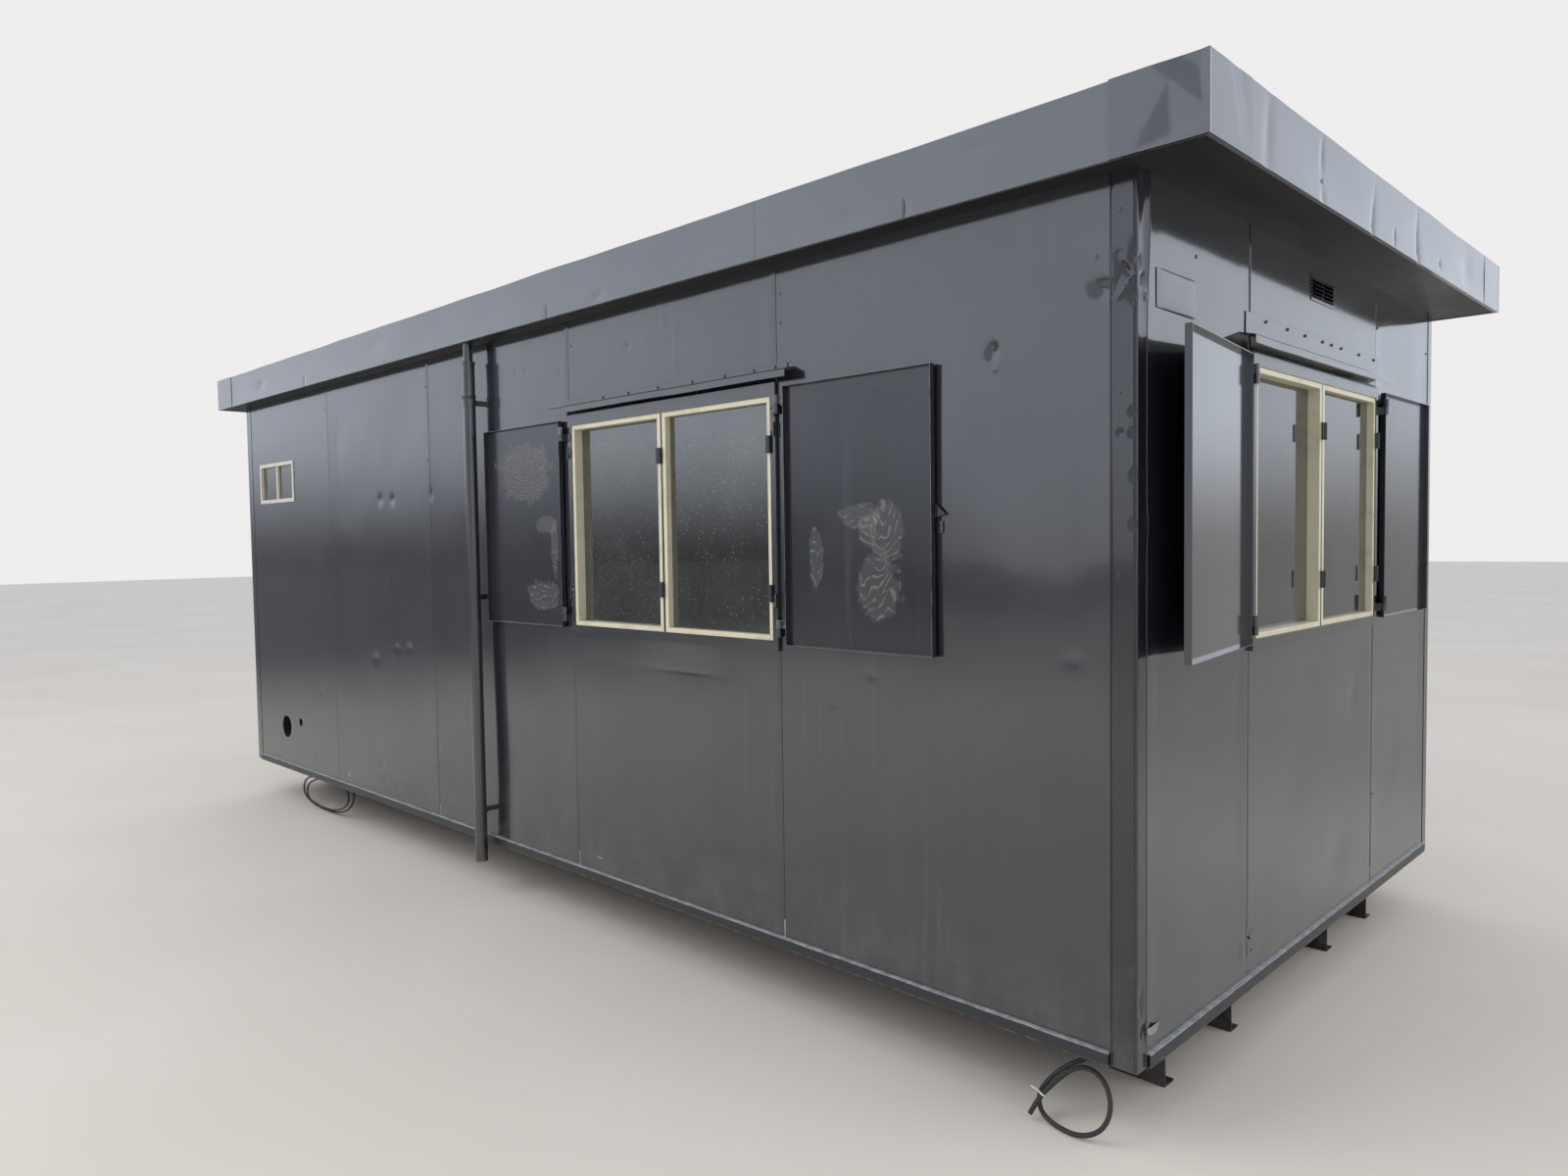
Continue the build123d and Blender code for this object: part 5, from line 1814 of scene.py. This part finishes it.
@dataclass
class PatchPlate(Dressing):
    """A plate over a hole high in the end wall.

    Attributes:
        near: Edge nearest the front.
        far: Edge nearest the window.
        foot: Its lower edge.
        head: Its upper edge.
    """

    node: str = ""
    title: ClassVar[str] = "end_patch_plate"
    near: float = -1.289
    far: float = -1.052
    foot: float = 2.270
    head: float = 2.375

    def shape(self, stock: Stock) -> None:
        """Make the plate, which stands a little off the wall at one corner.

        Args:
            stock: Stock of the piece.
        """
        rings = []
        for index, along in enumerate(spaced(self.near, self.far, 12)):
            rings.append([])
            for rise_share in (0.0, 0.03, 0.35, 0.7, 0.97, 1.0):
                rise = self.foot + (self.head - self.foot) * rise_share
                lift = 0.0030 * index / 12 * (1.0 - rise_share) + 0.0004
                rim = 0.0009 if rise_share in (0.0, 1.0) or index in (0, 12) else 0.0018
                rings[-1].append((LEVELS.x_end + lift + rim, along, rise))
            for rise_share in (1.0, 0.0):
                rise = self.foot + (self.head - self.foot) * rise_share
                rings[-1].append((LEVELS.x_end + 0.0001, along, rise))
        stock.loft(rings)


@dataclass
class HoleLiner(Dressing):
    """The turned-in edge of the drain hole, with a bent nib of sheet at its head.

    Attributes:
        centre: Its centre along the wall and over the ground.
        radius: Radius of the hole.
    """

    node: str = ""
    title: ClassVar[str] = "drain_hole_liner"
    centre: tuple[float, float] = (-2.667, 0.503)
    radius: float = 0.075

    def shape(self, stock: Stock) -> None:
        """Make the liner.

        Args:
            stock: Stock of the piece.
        """
        rings = []
        for step in range(49):
            turn = 2 * math.pi * step / 48
            ragged = 0.0012 * noise.noise(Vector((math.cos(turn) * 3, math.sin(turn) * 3, 1.0)))
            nib = 0.010 * math.exp(-(((turn - math.pi / 2) / 0.09) ** 2))
            outer, inner = self.radius - 0.0002, self.radius - 0.0042 - nib + ragged
            ring = []
            for radius, inset in ((outer, 0.0003), (inner, 0.0008), (inner, 0.0025), (outer, 0.0025)):
                x = self.centre[0] + radius * math.cos(turn)
                ring.append((x, inset - LEVELS.y_side, self.centre[1] + radius * math.sin(turn)))
            rings.append(ring)
        stock.loft(rings, capped=False)
        bmesh.ops.remove_doubles(stock.mesh, verts=stock.mesh.verts, dist=0.00001)


@dataclass
class WindowFittings(Dressing):
    """Hooks, stays and screw plates round the front window that hold its leaves."""

    node: str = ""
    title: ClassVar[str] = "front_window_fittings"
    slot: ClassVar[str] = "frame_paint"

    def shape(self, stock: Stock) -> None:
        """Make the fittings.

        Args:
            stock: Stock of the piece.
        """
        face, half = -(LEVELS.y_side + 0.0125), 0.009
        for x, side in ((1.862, 1), (0.638, -1)):
            for z, top in ((2.028, 2.070), (1.436, 1.476)):
                stock.block((x - half, face - 0.0022, z), (x + half, face + 0.0002, top), 0.0006)
                leg = (x + side * half, face - 0.004)
                stock.rod([(*leg, z - 0.004), (*leg, z + 0.046)], 0.0032)
        hook = [(1.868, 2.094), (1.873, 2.103), (1.874, 2.120), (1.868, 2.130), (1.860, 2.127), (1.858, 2.117)]
        stock.rod([(x, face - 0.003, z) for x, z in hook], 0.0016, 8)


@dataclass
class DownpipeTrim(Dressing):
    """Wire turns that hold the downpipe to its upper bracket, and the collar round its stub."""

    node: str = ""
    title: ClassVar[str] = "downpipe_trim"
    axis: tuple[float, float] = (-0.105, -1.462)
    radius: float = 0.029

    def shape(self, stock: Stock) -> None:
        """Make the wire turns and the collar.

        Args:
            stock: Stock of the piece.
        """
        x, y = self.axis
        for rise in (2.352, 2.357, 2.362):
            reach = self.radius + 0.0022
            stock.rod([(x + reach * c, y + reach * s, rise + 0.002 * s) for c, s in circle(32, 1)], 0.0018, 8)
        stock.turned((x, y, 2.508), (0, 0, 1), [(0.0294, 0.0), (0.0318, 0.001), (0.0318, 0.013), (0.0294, 0.0145)], 32)


@dataclass
class DoorTrim(Dressing):
    """Hinges, drip strip and threshold of the entrance door on the hidden side.

    Attributes:
        middle: Middle of the door along the wall.
        half: Half the door's width.
        foot: Underside of the door.
        head: Top of the door.
    """

    node: str = ""
    title: ClassVar[str] = "door_trim"
    middle: float = -1.25
    half: float = 0.45
    foot: float = 0.360
    head: float = 2.310

    def shape(self, stock: Stock) -> None:
        """Make the trim.

        Args:
            stock: Stock of the piece.
        """
        face = LEVELS.y_side
        edge = self.middle + self.half
        for rise in (0.56, 1.30, 2.06):
            stock.block((edge - 0.052, face - 0.0052, rise), (edge - 0.004, face - 0.0022, rise + 0.09), 0.0006)
            stock.rod([(edge, face + 0.004, rise - 0.006), (edge, face + 0.004, rise + 0.096)], 0.0065, 16)
        strip = [(face, self.head + 0.052), (face + 0.026, self.head + 0.036), (face + 0.026, self.head + 0.022)]
        strip += [(face + 0.0245, self.head + 0.022), (face + 0.0245, self.head + 0.035), (face, self.head + 0.050)]
        ends = (self.middle - self.half - 0.04, self.middle + self.half + 0.04)
        stock.loft([[(x, y, z) for y, z in strip] for x in ends])
        low, high = self.foot - 0.028, self.foot - 0.024
        stock.block((ends[0] + 0.04, face - 0.008, low), (ends[1] - 0.04, face + 0.022, high), 0.001)


UPWARD: Point = (0.0, 0.0, 1.0)
FRONTWARD: Point = (0.0, -1.0, 0.0)
BACKWARD: Point = (0.0, 1.0, 0.0)
RIGHTWARD: Point = (1.0, 0.0, 0.0)
LEFTWARD: Point = (-1.0, 0.0, 0.0)
LEAF_RIVET: tuple[Point, Point] = ((2.327, -1.408, 2.128), FRONTWARD)


def wall_screws() -> list[tuple[Point, Point]]:
    """Places of the screws in the walls: those that show, and rows of them on the hidden sides.

    Returns:
        Place and facing of each.
    """
    face, end = LEVELS.y_side, LEVELS.x_end
    front = [(-0.655, 2.472), (-0.655, 2.099), (-0.655, 1.648), (1.896, 2.508), (1.896, 2.409), (1.896, 1.04)]
    front += [(3.075, 2.403), (-1.905, 2.480), (-1.905, 1.560), (0.645, 2.500), (0.645, 0.62), (-3.08, 2.42)]
    front += [(-0.655, 0.52), (1.896, 0.46)]
    places = [((x, -face + 0.0006, z), FRONTWARD) for x, z in front]
    places += [((x, -face - 0.002, z), FRONTWARD) for x, z in ((3.143, 2.51), (3.142, 2.041), (3.137, 1.559))]
    ends = [(-1.04, 2.445), (-0.614, 2.481), (-0.628, 0.385), (-0.615, 0.345), (0.62, 2.46), (0.62, 0.62), (1.32, 2.44)]
    places += [((end - 0.0004, y, z), RIGHTWARD) for y, z in ends]
    for z in (0.42, 1.02, 1.62, 2.22, 2.50):
        places += [((x, face - 0.0004, z), BACKWARD) for x in (-3.09, -1.90, -0.60, 0.62, 1.86, 3.09)]
        places += [((-end + 0.0004, y, z), LEFTWARD) for y in (-1.31, -0.62, 0.62, 1.31)]
    return places


def plate_screws() -> list[tuple[Point, Point]]:
    """Places of the screws in the plates over the windows.

    Returns:
        Place and facing of each.
    """
    face, end = LEVELS.y_side + 0.0016, LEVELS.x_end + 0.0016
    places = [((x, -face, 2.2625), FRONTWARD) for x in (0.869, 1.040, 1.227, 1.431, 1.610, 1.764, 1.871)]
    across = (-0.532, -0.346, -0.183, -0.009, 0.083, 0.188, 0.390, 0.569)
    places += [((end, y, 2.331), RIGHTWARD) for y in across]
    return places


def roof_screws() -> list[tuple[Point, Point]]:
    """Places of the screws along the inner edge of the fascia's top returns.

    Returns:
        Place and facing of each.
    """
    foot = LEVELS.roof_top - 0.0045
    places = [(x, side * 1.455, foot) for x in spaced(-3.15, 3.15, 14) for side in (-1, 1)]
    places += [(side * 3.372, y, foot) for y in spaced(-1.2, 1.2, 6) for side in (-1, 1)]
    return [(place, UPWARD) for place in places]


# What reflections show of the sky and floor, and the plain backdrop that the camera sees.
DARK_SIDE: Colour = (0.13, 0.13, 0.14, 1.0)
DARK_END: Colour = (0.34, 0.34, 0.33, 1.0)
DARK_CORNER: Colour = (0.20, 0.22, 0.26, 1.0)
HAZE: Colour = (0.74, 0.77, 0.83, 1.0)
HIGH_SKY: Colour = (0.84, 0.90, 1.0, 1.0)
DAYLIGHT: Colour = (0.88, 0.93, 1.0, 1.0)
BACKDROP: Colour = (0.86, 0.845, 0.845, 1.0)
FLOOR_PALE: Colour = (0.74, 0.675, 0.60, 1.0)
FLOOR_PALER: Colour = (0.78, 0.715, 0.64, 1.0)
FLOOR_DARK: Colour = (0.10, 0.095, 0.09, 1.0)


@dataclass
class Studio:
    """Camera, light and floor.

    Attributes:
        eye: Place of the camera.
        yaw: Heading of the view, from +X towards +Y, in degrees.
        pitch: Tilt of the view above the horizon.
        roll: Turn about the line of sight.
        lens: Focal length for a 36 mm wide sensor.
    """

    eye: Point = (4.4805, -4.0191, 1.6690)
    yaw: float = 134.625
    pitch: float = -2.612
    roll: float = -0.848
    lens: float = 24.443

    def camera(self) -> None:
        """Place the camera where the picture was taken."""
        yaw, pitch, roll = (math.radians(angle) for angle in (self.yaw, self.pitch, self.roll))
        ahead = Vector((math.cos(pitch) * math.cos(yaw), math.cos(pitch) * math.sin(yaw), math.sin(pitch)))
        level = Vector((math.sin(yaw), -math.cos(yaw), 0.0))
        up = level.cross(ahead)
        right = level * math.cos(roll) + up * math.sin(roll)
        top = up * math.cos(roll) - level * math.sin(roll)
        data = bpy.data.cameras.new("camera")
        data.lens = self.lens
        data.sensor_width = 36.0
        camera = link("camera", data)
        turn = Matrix((right, top, -ahead)).transposed()
        camera.matrix_world = Matrix.Translation(self.eye) @ turn.to_4x4()
        bpy.context.scene.camera = camera

    @staticmethod
    def sky() -> None:
        """Hang a pale sky that is darker only in reflections, where the photo has dark surroundings."""
        world = bpy.data.worlds.new("studio")
        bpy.context.scene.world = world
        world.use_nodes = True
        graph = Graph(world.node_tree)
        paths = graph.add("ShaderNodeLightPath").outputs
        seen = graph.plus(paths["Is Camera Ray"], paths["Is Glossy Ray"])
        seen = graph.plus(seen, paths["Is Transmission Ray"], clamp=True)
        side, depth, rise = graph.axes(graph.add("ShaderNodeTexCoord").outputs["Generated"])
        low = graph.blend(graph.ramp(side, -0.70, -0.50), DARK_SIDE, HAZE)
        low = graph.blend(graph.ramp(depth, 0.3, 0.6), low, DARK_END)
        sky = graph.blend(graph.ramp(rise, -0.02, 0.11), low, HIGH_SKY)
        beyond = graph.times(graph.ramp(side, -0.385, -0.31), graph.ramp(depth, -0.35, -0.60))
        sky = graph.tint(sky, beyond, 0.6, DARK_CORNER)
        sky = graph.blend(paths["Is Camera Ray"], sky, BACKDROP)
        shade = world.node_tree.nodes["Background"].inputs
        graph.feed(shade["Color"], graph.blend(seen, DAYLIGHT, sky))
        graph.feed(shade["Strength"], graph.more(0.85, seen, 0.15))

    @staticmethod
    def lamps() -> None:
        """Set up two wide soft lamps that no reflection shows."""
        for name, place, aim, size, power in (
            ("key", (-2.0, -8.0, 7.0), (0.0, 0.0, 1.2), 6.0, 300.0),
            ("fill", (9.0, 1.0, 5.5), (2.5, 0.0, 1.2), 5.0, 140.0),
        ):
            data = bpy.data.lights.new(name, "AREA")
            data.size = size
            data.energy = power
            lamp = link(name, data)
            lamp.location = place
            lamp.visible_glossy = False
            lamp.rotation_mode = "QUATERNION"
            lamp.rotation_quaternion = (Vector(aim) - Vector(place)).to_track_quat("-Z", "Y")

    @staticmethod
    def floor(reach: float = 60.0) -> None:
        """Lay the plain pale floor, which is darker in reflections away from the camera.

        Args:
            reach: How far it goes each way.
        """
        surface = Surface("pale_floor")
        across, along, _ = surface.axes(surface.place)
        tone = surface.blend(surface.patches(0.3, 0.7, 0.6, 3.0), FLOOR_PALE, FLOOR_PALER)
        seen = surface.add("ShaderNodeLightPath").outputs["Is Glossy Ray"]
        beside = surface.times(surface.ramp(across, -4.0, -13.0), 0.65)
        behind = surface.times(surface.ramp(along, 0.5, 5.0), 0.28)
        dim = surface.times(seen, surface.plus(0.30, surface.math("MAXIMUM", beside, behind)))
        surface.set(Base_Color=surface.blend(dim, tone, FLOOR_DARK), Roughness=0.85)
        mesh = bpy.data.meshes.new("floor")
        corners = [(-reach, -reach, 0.0), (reach, -reach, 0.0), (reach, reach, 0.0), (-reach, reach, 0.0)]
        mesh.from_pydata(corners, [], [(0, 1, 2, 3)])
        mesh.materials.append(surface.material)
        link("floor", mesh)


def dress(nodes: dict[str, bpy.types.Object], effects: Effects) -> dict[str, bpy.types.Material]:
    """Give every CAD node its finish.

    Args:
        nodes: CAD nodes by name.
        effects: The shared effects.

    Returns:
        The finishes by name.
    """
    finishes = {
        finish.name: finish.build(effects)
        for finish in (
            GlossCoating("front_wall_coating", wave=0.0018, lined=True),
            GlossCoating("left_bay_coating", wave=0.0026, dents=FRONT_DENTS[-6:], lined=True),
            GlossCoating("end_wall_coating", gloss=0.12, wave=0.0012, lined=True, coat=2.1),
            # Same paint as the walls, painted lighter as a painted sheen for the light that the fascias catch.
            GlossCoating(
                "fascia_coating", (0.072, 0.078, 0.098, 1.0), (0.058, 0.063, 0.080, 1.0), 0.18, 0.0008, dust=0.1
            ),
            # Same paint as the walls, painted lighter as a painted sheen on the caps' facets.
            GlossCoating("cap_coating_painted_lighter", (0.048, 0.053, 0.068, 1.0), (0.038, 0.042, 0.055, 1.0), 0.14, 0.0004, dust=0.1),
            GlossCoating("plain_coating"),
            # Same paint as the walls, painted darker as painted shade on the near post.
            GlossCoating("post_coating_painted_darker", (0.012, 0.014, 0.020, 1.0), (0.008, 0.010, 0.014, 1.0), wave=0.0012, coat=1.5),
            GlossCoating("frame_coating", gloss=0.2, wave=0.0),
            GlossCoating("front_leaf_coating", gloss=0.18, wave=0.0012, smears=LEAF_SMEARS, coat=1.3, rim=True),
            GlossCoating("end_leaf_coating", gloss=0.13, wave=0.0012, coat=1.9),
            GlossCoating("far_leaf_coating", gloss=0.15, wave=0.0006, coat=1.3),
            RailCoating(),
            MattCoating("skid_coating", (0.010, 0.010, 0.011, 1.0), (0.035, 0.034, 0.033, 1.0)),
            FacedBoard("soffit_board", (0.012, 0.011, 0.013, 1.0), (0.018, 0.017, 0.018, 1.0), 0.3),
            FacedBoard("roof_covering", (0.11, 0.115, 0.12, 1.0), (0.17, 0.165, 0.15, 1.0), 0.55),
            FacedBoard("floor_board", (0.10, 0.062, 0.035, 1.0), (0.06, 0.04, 0.026, 1.0), 0.45),
            CreamTimber(),
            DustyGlass(),
            CoatedMetal("cream_aluminium", (0.66, 0.63, 0.54, 1.0), 0.0, 0.35),
            CoatedMetal("satin_handle", (0.55, 0.56, 0.57, 1.0), 1.0, 0.3),
            CoatedMetal("cable_sheath", (0.012, 0.012, 0.013, 1.0), 0.0, 0.5),
            CoatedMetal("dusty_cable_sheath", (0.035, 0.036, 0.038, 1.0), 0.0, 0.55),
            CoatedMetal("tie_plastic", (0.72, 0.72, 0.69, 1.0), 0.0, 0.4),
            CoatedMetal("gland_plastic", (0.02, 0.02, 0.021, 1.0), 0.0, 0.45),
        )
    }
    starts = {
        "skid_coating": "skid",
        "base_rail_coating": ("base_rail", "floor_joists"),
        "floor_board": "floor_deck",
        "soffit_board": "roof_deck",
        "roof_covering": "roof_sheet",
        "cream_painted_timber": ("front_casements", "end_casements"),
        "dusty_window_glass": ("window_glass", "small_window_glass"),
        "cream_aluminium": "small_window_frame",
        "satin_handle": "door_handle",
        "front_leaf_coating": "shutter_front",
        "far_leaf_coating": "shutter_end_back",
        "end_leaf_coating": "shutter",
        "frame_coating": ("front_window_frame", "end_window_frame"),
        "left_bay_coating": "front_panel_1",
        "front_wall_coating": ("front_", "back_", "left_end_wall"),
        "fascia_coating": "fascia",
        "end_wall_coating": "end_",
        "tie_plastic": "cable_tie",
        "gland_plastic": "cable_glands",
        "dusty_cable_sheath": "right_cable",
        "cable_sheath": "left_cable",
    }
    for name, node in nodes.items():
        chosen = next((finish for finish, start in starts.items() if name.startswith(start)), "plain_coating")
        node.data.materials.clear()
        node.data.materials.append(finishes[chosen])
    return finishes


def main() -> None:
    """Build the studio, the cables and the dressing in order."""
    logging.basicConfig(level=logging.INFO)
    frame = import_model()
    bpy.context.scene.view_settings.view_transform = "Standard"
    studio = Studio()
    studio.camera()
    studio.sky()
    studio.lamps()
    studio.floor()
    effects = Effects()
    finishes = dress(frame["nodes"], effects)
    for cable in (
        Cable("right_supply_cable", "right_cable", RIGHT_ROUTE, 0.014, 1.011, "bare", ("cable_tie",)),
        Cable("left_outer_supply_cable", "left_cable_outer", LEFT_OUTER_ROUTE, 0.010, 1.529, "object"),
        Cable("left_inner_supply_cable", "left_cable_inner", LEFT_INNER_ROUTE, 0.010, 1.354, "object"),
    ):
        sheath = "dusty_cable_sheath" if cable.far_end == "bare" else "cable_sheath"
        log.info("made %s", cable.build(finishes[sheath]).name)
    # The fascia's finish is painted lighter than the walls, a painted sheen that its screws share too.
    front, end, fascia = (finishes[f"{name}_coating"] for name in ("front_wall", "end_wall", "fascia"))
    for panel in (
        WallSheet("front_panel_2", Wall.FRONT, FRONT_DENTS, seed=1.3),
        WallSheet("front_panel_3", Wall.FRONT, FRONT_DENTS, seed=2.9),
        WallSheet("front_panel_5", Wall.FRONT, FRONT_DENTS, seed=5.2, rolled=False),
        WallSheet("front_window_apron", Wall.FRONT, FRONT_DENTS, seed=4.1),
        WallSheet("front_window_header", Wall.FRONT, FRONT_DENTS, seed=4.1, slack=0.001),
        WallSheet("back_panel_left", Wall.BACK, BACK_DENTS, seed=7.7),
        WallSheet("back_panel_right", Wall.BACK, BACK_DENTS, seed=9.1, seams=(0.625, 1.875)),
        WallSheet("left_end_wall", Wall.LEFT, BACK_DENTS, seed=6.4, seams=(-0.65, 0.6)),
    ):
        panel.build(front)
    for panel in (
        WallSheet("end_panel_front", Wall.RIGHT, END_DENTS, seed=3.3),
        WallSheet("end_window_apron", Wall.RIGHT, END_DENTS, seed=8.4),
        WallSheet("end_panel_back", Wall.RIGHT, END_DENTS, seed=2.2, rolled=False),
    ):
        panel.build(end)
    for roof_edge in (
        Fascia("fascia_front", Wall.FRONT, FASCIA_FRONT, (1.876,), True, seed=1.0),
        Fascia("fascia_right", Wall.RIGHT, FASCIA_RIGHT, seed=3.0),
        Fascia("fascia_back", Wall.BACK, (), (-1.2, 1.9), seed=5.0),
        Fascia("fascia_left", Wall.LEFT, (), seed=7.0),
    ):
        roof_edge.build(fascia)
    CornerCaps().build(finishes["cap_coating_painted_lighter"])
    SoffitBoard().build(finishes["soffit_board"])
    RoofCovering().build(finishes["roof_covering"])
    CornerPost(front_dents=POST_FRONT, end_dents=POST_END).build(finishes["post_coating_painted_darker"])
    DripHood("front_window_hood", Wall.FRONT, 1.25, (0.665, 0.678), 2.2725, 2.217).build(front)
    DripHood("end_window_hood", Wall.RIGHT, -0.025, (0.665, 0.665), 2.345, 2.237).build(end)
    PatchPlate().build(end)
    HoleLiner().build(finishes["left_bay_coating"])
    WindowFittings().build(finishes["frame_coating"])
    DownpipeTrim().build(front)
    DoorTrim().build(front)
    tree = FixingTree()
    Fixings("wall_screws", Head.PAN_SCREW, wall_screws()).build(tree, front)
    Fixings("plate_screws", Head.HEX_SCREW, plate_screws()).build(tree, front)
    Fixings("roof_screws", Head.PAN_SCREW, roof_screws()).build(tree, fascia)
    rivet = Fixings("leaf_rivet", Head.RIVET, [LEAF_RIVET], "shutter_front_right", "shutter_paint")
    rivet.build(tree, finishes["front_leaf_coating"])


if __name__ == "__main__":
    main()
